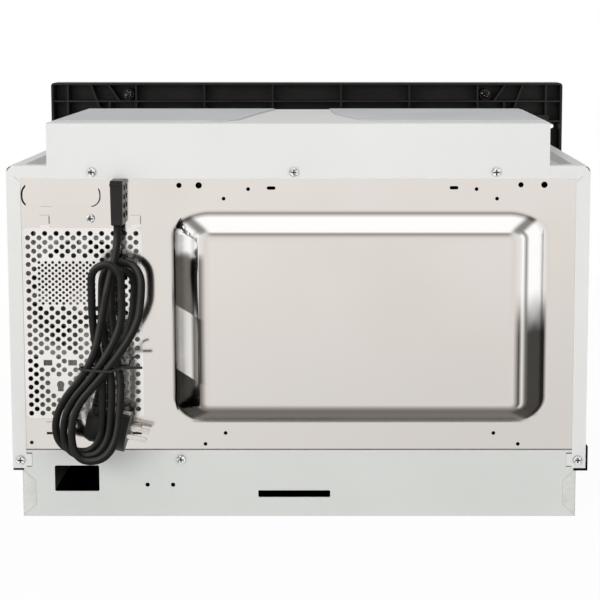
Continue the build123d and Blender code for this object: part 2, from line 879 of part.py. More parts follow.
def front_frame():
    """The black moulded frame: a face, an outer and an inner wall, ribs between, and a shoulder behind."""
    outer_x = (-half_frame, half_frame)
    outer_z = (frame_base, frame_top)
    inner_x = (-opening_x - frame_wall, opening_x + frame_wall)
    inner_z = (opening_low - frame_wall, opening_high + frame_wall)
    face = slab(outer_x, outer_z, (front, front + frame_face), frame_corner)
    face -= block((-opening_x, opening_x), (front, front + frame_face), (opening_low, opening_high))
    wall_y = (front, frame_back)
    frame = face + window_ring(outer_x, outer_z, wall_y, frame_corner, frame_wall)
    frame += window_ring(inner_x, inner_z, wall_y, 1.0, frame_wall)
    shoulder_y = (frame_back - shoulder_wall, frame_back)
    shoulder = slab(inner_x, inner_z, shoulder_y, 1.0)
    shoulder -= block((-mouth_x, mouth_x), shoulder_y,
                      (chassis_top + top_flange / 2, cabinet_top - top_flange))
    frame += shoulder
    rib_y = (front, frame_back - rib_wall)
    for number in range(rib_count):
        x = (number - (rib_count - 1) / 2) * rib_pitch
        frame += block(centred(x, rib_wall), rib_y, (inner_z[1] - rib_wall / 2, frame_top - rib_wall / 2))
        frame += block(centred(x, rib_wall), rib_y, (frame_base + rib_wall / 2, inner_z[0] + rib_wall / 2))
    for number in range(side_rib_count):
        z = (inner_z[0] + inner_z[1]) / 2 + (number - (side_rib_count - 1) / 2) * rib_pitch
        for side in (-1, 1):
            rib_x = sorted((side * (half_frame - rib_wall / 2), side * (opening_x + rib_wall / 2)))
            frame += block(rib_x, rib_y, centred(z, rib_wall))
    top_rib_z = frame_top - top_rib_drop
    rib_x = (-half_frame + rib_wall / 2, half_frame - rib_wall / 2)
    frame += block(rib_x, rib_y, centred(top_rib_z, rib_wall))
    for side in (-1, 1):
        frame += block(centred(side * short_rib_x, rib_wall), rib_y, (inner_z[1] - rib_wall / 2, top_rib_z))
        frame += brace(side, brace_x, (frame_top - rib_wall / 2, inner_z[1] - rib_wall / 2), rib_y)
        frame += brace(side, inner_brace_x, (frame_top - rib_wall / 2, top_rib_z), rib_y)
    for side in (-1, 1):
        for z in (frame_base + fixing_rise, frame_top - fixing_drop):
            frame -= rod_y(side * fixing_x, z, fixing_radius, wall_y)
    foot = bracket_foot + fit_gap
    low_z = (tongue_low_top - tongue_sheet - fit_gap, tongue_low_top - tongue_sheet + foot)
    high_z = (tongue_high_base + tongue_sheet - foot, tongue_high_base + tongue_sheet + fit_gap)
    for z_range in (low_z, high_z):
        frame -= block((-opening_x, -mouth_x), shoulder_y, z_range)
    for side in (-1, 1):
        x = side * frame_screw_x
        frame += rod_y(x, frame_top - frame_screw_drop, frame_boss_radius, (front, frame_back - rib_wall))
    return frame


# Door
def door_frame():
    """The moulded door ring behind the glass: window opening, pan pocket, hook channel and hinge corners."""
    outer_x = (door_left, door_right)
    outer_z = (door_low, door_high)
    body = slab(outer_x, outer_z, (glass_rear, door_rear), door_rear_corner)
    body = fillet(body.edges().filter_by(Axis.Z).group_by(Axis.Y)[-1], door_corner)
    window_x = centred(cavity_x, window_width + 2 * window_rest)
    window_z = centred(cavity_z, window_height + 2 * window_rest)
    body -= slab(window_x, window_z, (glass_rear, door_rear), window_corner)
    pan_x, pan_z = pan_limits(fit_gap)
    body -= block(pan_x, (pan_front - fit_gap, door_rear), pan_z)
    channel_x = centred(hook_x, hook_thick + 2 * fit_gap)
    channel_z = (hook_low - hook_barb - fit_gap,
                 hook_high + hook_shank + hook_travel + spring_length + fit_gap)
    body -= block(channel_x, (hook_bar_front - fit_gap, door_rear), channel_z)
    spring_x = centred(hook_x, 2 * spring_radius + 2 * fit_gap)
    spring_low = hook_high + hook_shank
    body -= block(spring_x, (hook_bar_front - fit_gap, door_rear), (spring_low, channel_z[1]))
    notch_x = (door_left, hinge_x + tongue_half + 3 * fit_gap)
    for low, high in ((door_low, door_low + hinge_notch), (door_high - hinge_notch, door_high)):
        body -= block(notch_x, (glass_rear, door_rear), (low, high))
    bore = hinge_pin_radius + running_gap
    reach = hinge_notch + hinge_pin_length + fit_gap
    body -= rod_z(hinge_x, hinge_y, bore, (door_low, door_low + reach))
    body -= rod_z(hinge_x, hinge_y, bore, (door_high - reach, door_high))
    return body


def door_glass():
    """The front pane over the whole door."""
    pane = slab((door_left, door_right), (door_low, door_high), (front, glass_rear), door_corner)
    return fillet(pane.edges().filter_by(Axis.Z).group_by(Axis.Y)[0], glass_round)


def pan_limits(margin=0.0):
    """The choke pan's outline about the cavity mouth, with a margin."""
    x = (cavity_left - choke_margin - margin, cavity_right + choke_margin + margin)
    z = (cavity_floor - choke_margin_z - margin, cavity_top + choke_margin_z + margin)
    return x, z


def door_inner_panel():
    """The steel pan behind the glass: a screened window plate with the microwave choke's wall around it."""
    pan_x, pan_z = pan_limits()
    pan = slab(pan_x, pan_z, (pan_front, pan_rear), pan_corner)
    inside_x = (pan_x[0] + pan_sheet, pan_x[1] - pan_sheet)
    inside_z = (pan_z[0] + pan_sheet, pan_z[1] - pan_sheet)
    return pan - slab(inside_x, inside_z, (pan_front + pan_sheet, pan_rear), pan_corner - pan_sheet)


def door_inner_window():
    """The clear inner pane over the screen."""
    x = centred(cavity_x, window_width)
    z = centred(cavity_z, window_height)
    y = pan_front + pan_sheet
    return slab(x, z, (y, y + inner_window_thickness), pane_corner)


def choke_cover():
    """The moulded ring that closes the choke and holds the inner pane."""
    outer_x, outer_z = pan_limits()
    ring_y = (pan_rear, pan_rear + cover_ring)
    ring = slab(outer_x, outer_z, ring_y, pan_corner)
    collar_x = centred(cavity_x, window_width)
    collar_z = centred(cavity_z, window_height)
    pane_rear = pan_front + pan_sheet + inner_window_thickness
    ring += slab(collar_x, collar_z, (pane_rear, ring_y[1]), pane_corner)
    hole_x = centred(cavity_x, window_width - 2 * window_rest)
    hole_z = centred(cavity_z, window_height - 2 * window_rest)
    return ring - slab(hole_x, hole_z, (pane_rear, ring_y[1]), pan_corner)


def latch_hooks():
    """The sprung bar with its two hooks, which stand out of the door's rear."""
    bar_x = centred(hook_x, hook_thick)
    bar_rear = hook_bar_front + hook_bar_depth
    bar = block(bar_x, (hook_bar_front, bar_rear), (hook_low, hook_high + hook_shank))
    tip = door_rear + hook_reach
    for z in (hook_low, hook_high):
        bar += block(bar_x, (bar_rear, tip), (z, z + hook_shank))
        bar += block(bar_x, (tip - 2 * hook_barb, tip), (z - hook_barb, z))
    return bar


def latch_spring():
    """The spring over the hook bar, as a plain sleeve of its outer size."""
    low = hook_high + hook_shank
    y = hook_bar_front + hook_bar_depth / 2
    sleeve = rod_z(hook_x, y, spring_radius, (low, low + hook_travel + spring_length))
    return sleeve - rod_z(hook_x, y, spring_radius / 2, (low, low + hook_travel + spring_length))


def hinge_brackets():
    """The two steel hinge brackets: a foot on the front plate, a tongue forward and the door's pin."""
    group = []
    foot_x = centred(hinge_x, 2 * bracket_half)
    foot_y = (frame_back - shoulder_wall / 2, frame_back)
    tongue_x = centred(hinge_x, 2 * tongue_half)
    for top, pin_up in ((tongue_low_top, True), (tongue_high_base + tongue_sheet, False)):
        tongue_z = (top - tongue_sheet, top)
        foot_z = (tongue_z[0], tongue_z[0] + bracket_foot) if pin_up else (top - bracket_foot, top)
        pin_z = (top, top + hinge_pin_length) if pin_up else (tongue_z[0] - hinge_pin_length, tongue_z[0])
        bracket = block(foot_x, foot_y, foot_z) + block(tongue_x, (hinge_y, frame_back), tongue_z)
        bracket += rod_z(hinge_x, hinge_y, tongue_half, tongue_z)
        group.append(bracket + rod_z(hinge_x, hinge_y, hinge_pin_radius, pin_z))
    return group


# Controls
def button_places():
    """The centres of the push buttons, row by row from the top."""
    for row in range(button_rows):
        for column in range(button_columns):
            x = panel_x + (column - (button_columns - 1) / 2) * button_pitch_x
            yield x, button_top_z - row * button_pitch_z


def control_panel():
    """The fascia: a face with side walls behind it and an opening for each control."""
    x = (panel_left, panel_right)
    z = (door_low, door_high)
    shell = slab(x, z, (front, panel_rear), door_corner)
    inner_x = (x[0] + panel_wall, x[1] - panel_wall)
    inner_z = (z[0] + panel_wall, z[1] - panel_wall)
    shell -= slab(inner_x, inner_z, (front + panel_face, panel_rear), panel_inner_corner)
    through = (front, front + panel_face)
    shell -= slab(centred(panel_x, display_width), centred(display_z, display_height), through, 2.0)
    for at_x, at_z in button_places():
        hole_x = centred(at_x, button_width + 2 * fit_gap)
        hole_z = centred(at_z, button_height + 2 * fit_gap)
        shell -= slab(hole_x, hole_z, through, button_corner + fit_gap)
    shell -= rod_y(panel_x, knob_z, knob_shaft_radius + running_gap, through)
    hole_x = centred(panel_x, open_button_width + 2 * fit_gap)
    hole_z = centred(open_button_z, open_button_height + 2 * fit_gap)
    shell -= slab(hole_x, hole_z, through, button_corner + fit_gap)
    for side in (-1, 1):
        boss_x = panel_x + side * (panel_right - panel_left - 2 * board_gap - boss_inset) / 2
        for boss_z in (board_low + boss_inset, door_high - board_gap - boss_inset):
            shell += rod_y(boss_x, boss_z, boss_radius, (front + panel_face, board_front))
        leg_x = centred(panel_x + side * (open_button_width - board_gap) / 2, board_gap)
        for leg_z in ((door_low, door_low + panel_wall), (door_high - panel_wall, door_high)):
            shell += block(leg_x, (panel_rear - panel_wall, frame_back - shoulder_wall), leg_z)
    return shell


def display_window():
    """The dark pane in front of the display."""
    x = centred(panel_x, display_width)
    z = centred(display_z, display_height)
    return slab(x, z, (front, front + panel_face), 2.0)


def cap_with_flange(x, z, width, height):
    """A button cap that stands a little out of the fascia, with a wider flange behind the fascia."""
    flange_front = front + panel_face + fit_gap
    flange_y = (flange_front, flange_front + button_flange)
    cap = slab(centred(x, width), centred(z, height), (front - button_rise, front + panel_face),
               button_corner)
    neck_x, neck_z = centred(x, width - button_lip), centred(z, height - button_lip)
    cap += slab(neck_x, neck_z, (front, flange_front), button_corner - button_lip / 2)
    return cap + slab(centred(x, width + 2 * button_lip), centred(z, height + 2 * button_lip), flange_y,
                      button_corner)


def push_button(x, z):
    """A push button: its cap and a stem to its switch."""
    return cap_with_flange(x, z, button_width, button_height) + rod_y(
        x, z, button_stem_radius, (front + panel_face + fit_gap, switch_front - fit_gap - button_travel))


def control_knob():
    """The turned selector knob on its shaft."""
    knob = rod_y(panel_x, knob_z, knob_radius, (front - knob_reach, front - knob_reach + knob_length))
    knob = fillet(knob.edges().group_by(Axis.Y)[0], knob_round)
    return knob + rod_y(panel_x, knob_z, knob_shaft_radius,
                        (front - knob_reach + knob_length, board_front - fit_gap))


def knob_encoder():
    """The rotary encoder's housing and bush, on the control board."""
    bush_front = encoder_front - 2
    housing = block(centred(panel_x, encoder_size), (encoder_front, board_front),
                    centred(knob_z, encoder_size))
    housing += rod_y(panel_x, knob_z, knob_shaft_radius + encoder_bush_wall, (bush_front, encoder_front))
    return housing - rod_y(panel_x, knob_z, knob_shaft_radius + running_gap, (bush_front, board_front))


def door_open_button():
    """The large push button that opens the door, with its plunger to the lever."""
    flange_front = front + panel_face + fit_gap
    cap = cap_with_flange(panel_x, open_button_z, open_button_width, open_button_height)
    plunger_x = centred(lever_x, lever_width)
    nose_y = lever_front - fit_gap - lever_width / 2
    cap += block(plunger_x, (flange_front, nose_y), centred(lever_foot_z, lever_width))
    return cap + rod_x(nose_y, lever_foot_z, lever_width / 2, plunger_x)


def door_open_lever():
    """The bell crank that turns the button's push into a lift under the lower hook."""
    plate = centred(lever_x, lever_sheet)
    half = lever_width / 2
    arm = block(plate, (lever_y - half, lever_y + half), (lever_foot_z - half, lever_pivot_z))
    arm += rod_x(lever_y, lever_pivot_z, lever_eye, plate)
    finger_z = hook_low - hook_barb - fit_gap - half
    rise = finger_z - lever_pivot_z
    slope = (rise ** 2 + lever_back ** 2) ** 0.5
    tilt = degrees(atan2(rise, lever_back))
    bar = Box(lever_sheet, slope, lever_width)
    middle = Pos(lever_x, lever_y + lever_back / 2, lever_pivot_z + rise / 2)
    arm += middle * Rot(tilt, 0, 0) * bar
    finger_y = lever_y + lever_back
    arm += rod_x(finger_y, finger_z, half, (hook_x - hook_thick / 2, plate[1]))
    return arm - rod_x(lever_y, lever_pivot_z, lever_pin_radius + running_gap, plate)


def control_board():
    """The circuit board behind the fascia with its display module and one switch per button."""
    x = (panel_left + board_gap, panel_right - board_gap)
    z = (board_low, door_high - board_gap)
    sheet = block(x, (board_front, board_front + board_sheet), z)
    group = [sheet]
    display_x = centred(panel_x, display_width - module_margin_x)
    display_y = (front + panel_face + fit_gap, board_front)
    group.append(block(display_x, display_y, centred(display_z, display_height - module_margin_z)))
    for at_x, at_z in button_places():
        group.append(block(centred(at_x, switch_body), (switch_front, board_front),
                           centred(at_z, switch_body)))
    return group


# Cavity and microwave parts
def cavity_liner():
    """The oven cavity: a welded box with its front plate, a drawn rear wall and its ports."""
    t = cavity_sheet
    shell_x = (cavity_left - t, cavity_right + t)
    shell_z = (cavity_floor - t, cavity_top + t)
    body = slab(shell_x, shell_z, (frame_back, cavity_back + t), cavity_corner + t)
    plate_x = (-inside + fit_gap, inside - fit_gap)
    plate_z = (plinth_height, cabinet_top - case_sheet - fit_gap)
    body += slab(plate_x, plate_z, (frame_back, plate_rear), case_corner)
    plane = rear_facing(cavity_x, cavity_back, cavity_z)
    dish = frustum(plane, cavity_dish_width, cavity_dish_height, bulge_corner, cavity_dish_slope,
                   cavity_dish_rise + t)
    body += dish
    body -= slab((cavity_left, cavity_right), (cavity_floor, cavity_top), (frame_back, cavity_back),
                 cavity_corner)
    body -= frustum(plane, cavity_dish_width - 2 * t, cavity_dish_height - 2 * t, bulge_corner - t,
                    cavity_dish_slope, cavity_dish_rise)
    wall = (cavity_right, right_wall)
    body -= block(wall, centred(port_y, port_depth), centred(port_z, port_height))
    body -= rod_x(lamp_y, lamp_z, lamp_port_radius, wall)
    body -= rod_z(cavity_x, turn_y, coupler_shaft_radius + 2, (cavity_floor - t, cavity_floor))
    slot_x = (hook_x - hook_thick / 2 - 3 * fit_gap, hook_x + hook_thick / 2 + hook_swing)
    for z in (hook_low, hook_high):
        slot_z = (z - hook_barb - fit_gap, z + hook_shank + hook_travel + fit_gap)
        body -= block(slot_x, (frame_back, plate_rear), slot_z)
    wiring_x = (panel_left + board_gap, inside - 3 * board_gap)
    body -= block(wiring_x, (frame_back, plate_rear), (wiring_low, cavity_top))
    plunger = lever_width + 4 * fit_gap
    return body - block(centred(lever_x, plunger), (frame_back, plate_rear), centred(lever_foot_z, plunger))


def waveguide():
    """The rectangular guide from the magnetron to the cavity's side wall."""
    x = (right_wall, right_wall + guide_depth)
    y = centred(port_y, port_depth + 2 * guide_sheet)
    z = (antenna_z - port_height / 2 + 4, port_z + port_height / 2 + guide_sheet)
    body = block(x, y, z)
    inner_y = centred(port_y, port_depth)
    body -= block((x[0], x[1] - guide_sheet), inner_y, (z[0] + guide_sheet, z[1] - guide_sheet))
    return body - rod_x(port_y, antenna_z, antenna_radius + 3, (x[1] - guide_sheet, x[1]))


def waveguide_cover():
    """The mica sheet over the port, on the inside of the cavity."""
    x = (cavity_right - mica_sheet, cavity_right)
    y = centred(port_y, port_depth + 2 * mica_margin)
    return block(x, y, centred(port_z, port_height + 2 * mica_margin))


def magnetron():
    """The magnetron: yoke, anode, antenna and filter box in one assembly."""
    left = right_wall + guide_depth
    x = (left, left + yoke_length)
    y = centred(port_y, yoke_width)
    z = centred(antenna_z, yoke_height)
    yoke = block(x, y, z) - block((x[0] + yoke_sheet, x[1] - yoke_sheet), y,
                                  (z[0] + yoke_sheet, z[1] - yoke_sheet))
    anode = rod_x(port_y, antenna_z, anode_radius, (x[0] + yoke_sheet, x[1] - yoke_sheet))
    antenna = rod_x(port_y, antenna_z, antenna_radius, (x[0] - antenna_length, x[0] + yoke_sheet))
    filter_box = block((x[1], x[1] + filter_depth), centred(port_y, filter_size),
                       centred(antenna_z, filter_size))
    return yoke + anode + antenna + filter_box


def magnetron_fins():
    """The thin aluminium fins pressed round the anode."""
    left = right_wall + guide_depth
    y = centred(port_y, yoke_width - fin_setback)
    z = centred(antenna_z, yoke_height - 2 * yoke_sheet)
    group = []
    for number in range(fin_count):
        x = left + yoke_length * (number + 1) / (fin_count + 1)
        fin = block(centred(x, fin_sheet), y, z)
        group.append(fin - rod_x(port_y, antenna_z, anode_radius, centred(x, fin_sheet)))
    return group


def transformer_core():
    """The transformer's laminated core: a frame with a middle limb, on a footed strap."""
    x = centred(transformer_x, transformer_length)
    y = centred(transformer_y, transformer_width)
    z = (chassis_top, chassis_top + transformer_height)
    core = block(x, y, z)
    window_z = (z[0] + limb, z[1] - limb)
    for low in (x[0] + limb, transformer_x + limb):
        core -= block((low, low + coil_space), y, window_z)
    return core


def transformer_windings():
    """The two windings round the middle limb."""
    z = (chassis_top + limb, chassis_top + transformer_height - limb)
    middle = (z[0] + z[1]) / 2
    coil_x = centred(transformer_x, 2 * (limb + coil_space) - 2 * fit_gap)
    y = centred(transformer_y, transformer_width + 2 * coil_space)
    group = []
    for low, high in ((z[0], middle - 1), (middle + 1, z[1])):
        winding = slab_z(coil_x, y, (low, high), winding_corner)
        limb_x = centred(transformer_x, 2 * limb)
        limb_y = centred(transformer_y, transformer_width)
        group.append(winding - block(limb_x, limb_y, (low, high)))
    return group


def capacitor_body(y, grow=0.0):
    """The capacitor's oval section over a stretch of Y, grown all round by a margin."""
    width = capacitor_width + 2 * grow
    height = capacitor_height + 2 * grow
    middle = chassis_top + clamp_sheet + capacitor_height / 2
    return slab(centred(capacitor_x, width), centred(middle, height), y, height / 2 - 0.5)


def capacitor():
    """The oval high-voltage capacitor with its two terminals."""
    can = capacitor_body((capacitor_low_y, capacitor_low_y + capacitor_length))
    z = chassis_top + clamp_sheet + capacitor_height / 2
    for side in (-1, 1):
        x = capacitor_x + side * terminal_spacing / 2
        can += rod_y(x, z, terminal_radius, (capacitor_low_y - terminal_length, capacitor_low_y))
    return can


def capacitor_clamp():
    """The strap that holds the capacitor down, and the diode beside it."""
    strap_y = centred(capacitor_low_y + capacitor_length / 2, clamp_width)
    strap = capacitor_body(strap_y, clamp_sheet) - capacitor_body(strap_y)
    edge = capacitor_x + capacitor_width / 2
    middle = chassis_top + clamp_sheet + capacitor_height / 2
    strap += block((edge + clamp_sheet / 2, edge + 2 * clamp_sheet), strap_y, (chassis_top, middle))
    strap += block((edge + clamp_sheet, edge + clamp_width), strap_y,
                   (chassis_top, chassis_top + clamp_sheet))
    diode_z = chassis_top + diode_radius
    diode = rod_y(edge + clamp_width / 2, diode_z, diode_radius,
                  (strap_y[1] + 2, strap_y[1] + 2 + diode_length))
    return [strap, diode]


# Cooling
def fan_housing():
    """The square fan shroud with a round throat, its stand, and the arms that carry the motor behind it."""
    x = centred(fan_x, fan_housing_size)
    z = centred(fan_z, fan_housing_size)
    y = (fan_front, fan_rear)
    shroud = slab(x, z, y, housing_corner) - rod_y(fan_x, fan_z, fan_radius + fan_tip_gap, y)
    arms_y = (fan_rear, motor_front)
    arms = block(x, arms_y, centred(fan_z, arm_width)) + block(centred(fan_x, arm_width), arms_y, z)
    arms += rod_y(fan_x, fan_z, fan_rotor_radius, arms_y)
    arms -= rod_y(fan_x, fan_z, fan_shaft_radius + running_gap, arms_y)
    stand_x = centred(fan_x, fan_housing_size - stand_inset)
    stand = block(stand_x, (fan_front, fan_front + stand_sheet), (chassis_top, z[0] + 1))
    shroud += arms + stand
    for side in (-1, 1):
        for y_post in (fan_front + post_inset, fan_rear - post_inset):
            x_post = fan_x + side * (board_width / 2 - post_side)
            shroud += rod_z(x_post, y_post, post_radius, (z[1] - 1, filter_board_z))
    return shroud


def fan_motor():
    """The shaded-pole motor: laminated frame and its copper coil above the rotor."""
    y = (motor_front, motor_front + stack_depth)
    bore = fan_rotor_radius + fit_gap
    coil_z = (fan_z + bore + coil_rise, fan_z + stack_rise - coil_drop)
    stack = block(centred(fan_x, stack_width), y, (fan_z - stack_drop, fan_z + stack_rise))
    stack -= rod_y(fan_x, fan_z, bore, y)
    stack -= block(centred(fan_x, coil_width), y, coil_z)
    stack += block(centred(fan_x, coil_limb), y, coil_z)
    coil = slab_z(centred(fan_x, coil_width), (y[0], y[1] + coil_stand), coil_z, coil_corner)
    return [stack, coil - block(centred(fan_x, coil_limb), y, coil_z)]


def fan_rotor():
    """The fan wheel: hub, five set blades, shaft and the motor's rotor."""
    y = (fan_front + 4, fan_rear - 4)
    middle = (y[0] + y[1]) / 2
    blade_length = fan_radius - fan_hub_radius + 2
    blade = Box(blade_length, fan_blade_sheet, (y[1] - y[0]) * blade_share)
    blade = Pos(fan_hub_radius - 2 + blade_length / 2, 0, 0) * Rot(fan_blade_pitch, 0, 0) * blade
    facing = Pos(fan_x, middle, fan_z) * Rot(-90, 0, 0)
    wheel = rod_y(fan_x, fan_z, fan_hub_radius, y)
    for number in range(fan_blades):
        wheel += facing * Rot(0, 0, number * 360 / fan_blades) * blade
    wheel = wheel & rod_y(fan_x, fan_z, fan_radius, y)
    rotor_front = motor_front + fit_gap
    wheel += rod_y(fan_x, fan_z, fan_shaft_radius, (y[1], rotor_front))
    return wheel + rod_y(fan_x, fan_z, fan_rotor_radius, (rotor_front, motor_front + stack_depth))


def air_guide():
    """The moulded guide from the fan to the magnetron."""
    x = centred(fan_x, fan_housing_size)
    z = centred(fan_z, fan_housing_size)
    y = (port_y + yoke_width / 2 + 4, fan_front)
    inner_x = (x[0] + guide_wall, x[1] - guide_wall)
    inner_z = (z[0] + guide_wall, z[1] - guide_wall)
    return slab(x, z, y, housing_corner) - slab(inner_x, inner_z, y, housing_corner - guide_wall)


def filter_board():
    """The mains filter board on its posts, with its coil, fuse and terminal block."""
    y = (fan_front, fan_front + board_depth)
    sheet = block(centred(fan_x, board_width), y, (filter_board_z, filter_board_z + board_sheet))
    top = filter_board_z + board_sheet
    group = [sheet]
    middle = (y[0] + y[1]) / 2
    group.append(rod_z(fan_x - choke_coil_shift, middle, choke_coil_radius, (top, top + choke_coil_height)))
    for shift, width, length, height in (fuse_block, terminal_block):
        group.append(block(centred(fan_x + shift, width), centred(middle, length), (top, top + height)))
    return group


def cavity_lamp():
    """The cavity lamp: holder against the side wall with its bulb."""
    flange_end = right_wall + lamp_flange
    holder = rod_x(lamp_y, lamp_z, lamp_port_radius + lamp_flange, (right_wall, flange_end))
    holder += rod_x(lamp_y, lamp_z, lamp_holder_radius, (flange_end, flange_end + lamp_holder_length))
    bulb = rod_x(lamp_y, lamp_z, bulb_radius, (right_wall - cavity_sheet + bulb_inset, right_wall))
    return holder + bulb


def thermal_cutouts():
    """Two disc thermostats: one on the cavity wall, one on the magnetron."""
    group = []
    z = lamp_z - cutout_drop
    disc_end = right_wall + cutout_height
    first = rod_x(lamp_y, z, cutout_radius, (right_wall, disc_end))
    group.append(first + rod_x(lamp_y, z, cutout_cap_radius, (disc_end, disc_end + cutout_cap_height)))
    top = antenna_z + yoke_height / 2
    left = right_wall + guide_depth
    group.append(rod_z(left + yoke_length / 2, port_y, cutout_radius, (top, top + cutout_height)))
    return group


def interlock_bracket():
    """The moulded bracket behind the front plate: side wall, flange for the switches and the lever's pin."""
    side_x = (bracket_x, bracket_x + bracket_wall)
    wall_z = (lever_pivot_z - 2 * lever_width, hook_high + hook_shank + switch_high)
    bracket = block(side_x, (plate_rear, door_rear + hook_reach), wall_z)
    flange_z = (hook_low + hook_shank, wall_z[1])
    bracket += block((switch_left, side_x[1]), (plate_rear, plate_rear + bracket_wall), flange_z)
    pin_x = (lever_x - lever_sheet / 2, bracket_x)
    return bracket + rod_x(lever_y, lever_pivot_z, lever_pin_radius, pin_x)


def interlock_switches():
    """Three microswitches on the bracket's flange, beside the hooks."""
    group = []
    x = (switch_left, switch_left + switch_thick)
    y = (plate_rear + bracket_wall, plate_rear + bracket_wall + switch_deep)
    low = hook_low + hook_shank
    for z in (low, low + switch_high + lever_width, hook_high - switch_high / 2):
        group.append(block(x, y, (z, z + switch_high)))
    return group


# Turntable
def turntable_motor():
    """The flat synchronous motor under the cavity floor."""
    top = cavity_floor - cavity_sheet
    can = rod_z(cavity_x, turn_y, motor_radius, (top - motor_height, top))
    ear_x = centred(cavity_x, 2 * (motor_radius + motor_ear_reach))
    can += block(ear_x, centred(turn_y, motor_ear_width), (top - motor_ear_sheet, top))
    bore = coupler_shaft_radius + running_gap
    return can - rod_z(cavity_x, turn_y, bore, (top - motor_height + 2, top))


def turntable_coupler():
    """The three-armed coupler on the motor's shaft."""
    shaft_low = cavity_floor - cavity_sheet - motor_height + 3
    hub_low = cavity_floor + fit_gap
    body = rod_z(cavity_x, turn_y, coupler_shaft_radius, (shaft_low, hub_low))
    body += rod_z(cavity_x, turn_y, hub_radius, (hub_low, tray_low - 2))
    for number in range(roller_count):
        arm = block((0, coupler_radius), centred(0, arm_breadth), (hub_low + hub_step, tray_low))
        body += Pos(cavity_x, turn_y, 0) * Rot(0, 0, number * 360 / roller_count) * arm
    return body


def roller_angles():
    return [first_roller_angle + number * 360 / roller_count for number in range(roller_count)]


def roller_ring():
    """The roller carrier: a flat ring with spokes to three stub axles."""
    half = ring_wall / 2
    inner = roller_circle - roller_width / 2 - fit_gap - 2 * ring_wall
    ring = rod_z(cavity_x, turn_y, inner + ring_wall, (roller_axis_z - half, roller_axis_z + half))
    ring -= rod_z(cavity_x, turn_y, inner, (roller_axis_z - half, roller_axis_z + half))
    for angle in roller_angles():
        axle_end = roller_circle + roller_width / 2 + fit_gap
        root = (inner + ring_wall / 2, roller_circle - roller_width / 2 - fit_gap)
        stub = rod_x(0, 0, half, root)
        axle = rod_x(0, 0, axle_radius, (root[0], axle_end))
        cap = rod_x(0, 0, half + axle_cap_wall, (axle_end, axle_end + axle_cap_length))
        place = Pos(cavity_x, turn_y, roller_axis_z) * Rot(0, 0, angle)
        ring += place * (stub + axle + cap)
    return ring


def roller(angle):
    """One roller on its stub axle."""
    wheel = rod_x(0, 0, roller_radius, centred(roller_circle, roller_width))
    wheel -= rod_x(0, 0, axle_radius + running_gap, centred(roller_circle, roller_width))
    return Pos(cavity_x, turn_y, roller_axis_z) * Rot(0, 0, angle) * wheel


def glass_tray():
    """The glass turntable: a flat disc with an upturned rim."""
    disc = rod_z(cavity_x, turn_y, tray_radius, (tray_low, tray_low + tray_rim + tray_thickness))
    disc = chamfer(disc.edges().group_by(Axis.Z)[0], tray_rim)
    well_radius = tray_radius - tray_thickness
    well = rod_z(cavity_x, turn_y, well_radius,
                 (tray_low + tray_thickness, tray_low + tray_rim + tray_thickness))
    well = chamfer(well.edges().group_by(Axis.Z)[0], tray_rim * well_share)
    return disc - well


# Cord, tie and plug
def cord_anchor():
    """The moulded strain relief block on the rear panel; the cord leaves its lower end."""
    high = cabinet_top - top_flange
    body = block(centred(anchor_x, anchor_width), (steel_outer, steel_outer + anchor_depth),
                 (high - anchor_height, high))
    return fillet(body.edges().filter_by(Axis.Z).group_by(Axis.Y)[-1], anchor_round)


def behind_panel(place, step=(0, 0, 0), turn=0):
    """A point from its X, Z and distance behind the panel, moved on by a step for each turn."""
    x, z, depth = [value + turn * change for value, change in zip(place, step)]
    return Vector(x, steel_outer + depth, z)


def heading(angle, climb=0.0):
    """A direction in the plane of the panel, by its angle from X towards Z, with a climb off the panel."""
    return Vector(cos(radians(angle)), climb, sin(radians(angle))).normalized()


def lead_points():
    """The cord's way from the anchor to the hank."""
    exit_z = cabinet_top - top_flange - anchor_height
    start = behind_panel((anchor_x, exit_z, lead_depth))
    return [start, behind_panel(lead_bend), behind_panel(lead_slope), behind_panel(lead_end)]


def bend_radii(points):
    """For each corner of a route, the largest arc that its two runs allow."""
    radii = []
    for before, corner, after in zip(points, points[1:], points[2:]):
        turn = radians((corner - before).get_angle(after - corner))
        shorter = min((corner - before).length, (after - corner).length)
        radii.append(bend_share * shorter / tan(turn / 2))
    return radii


def tube(path, direction):
    """A round cord along a path that starts in the given direction."""
    section = Plane(origin=path.position_at(0), z_dir=direction) * Circle(cord_diameter / 2)
    return sweep(section, path=path)


def power_cord():
    """The free stretch of the cord, from the anchor down and outward to the hank."""
    points = lead_points()
    radii = bend_radii(points)
    print("lead radii", [round(radius, 1) for radius in radii])
    path = Wire(FilletPolyline(*points, radius=radii).edges())
    return tube(path, points[1] - points[0])


def loop_cap(x, z, depth):
    """The stations over the top of one upper loop: two sides, two shoulders and the crown."""
    middle = (x[0] + x[1]) / 2
    roundness = cap_roundness * abs(x[0] - x[1]) / 2
    out = roundness * sin(radians(shoulder_angle))
    drop = roundness * (1 - cos(radians(shoulder_angle)))
    rising = depth[0] + (depth[1] - depth[0]) * crown_lead
    falling = depth[1] + (depth[2] - depth[1]) * (1 - crown_lead)
    return [
        ((x[0], z[0], depth[0]), 90),
        ((middle + out, z[1] - drop, rising), 180 - shoulder_angle),
        ((middle, z[1], depth[1]), 180),
        ((middle - out, z[1] - drop, falling), 180 + shoulder_angle),
        ((x[1], z[0], depth[2]), 270),
    ]


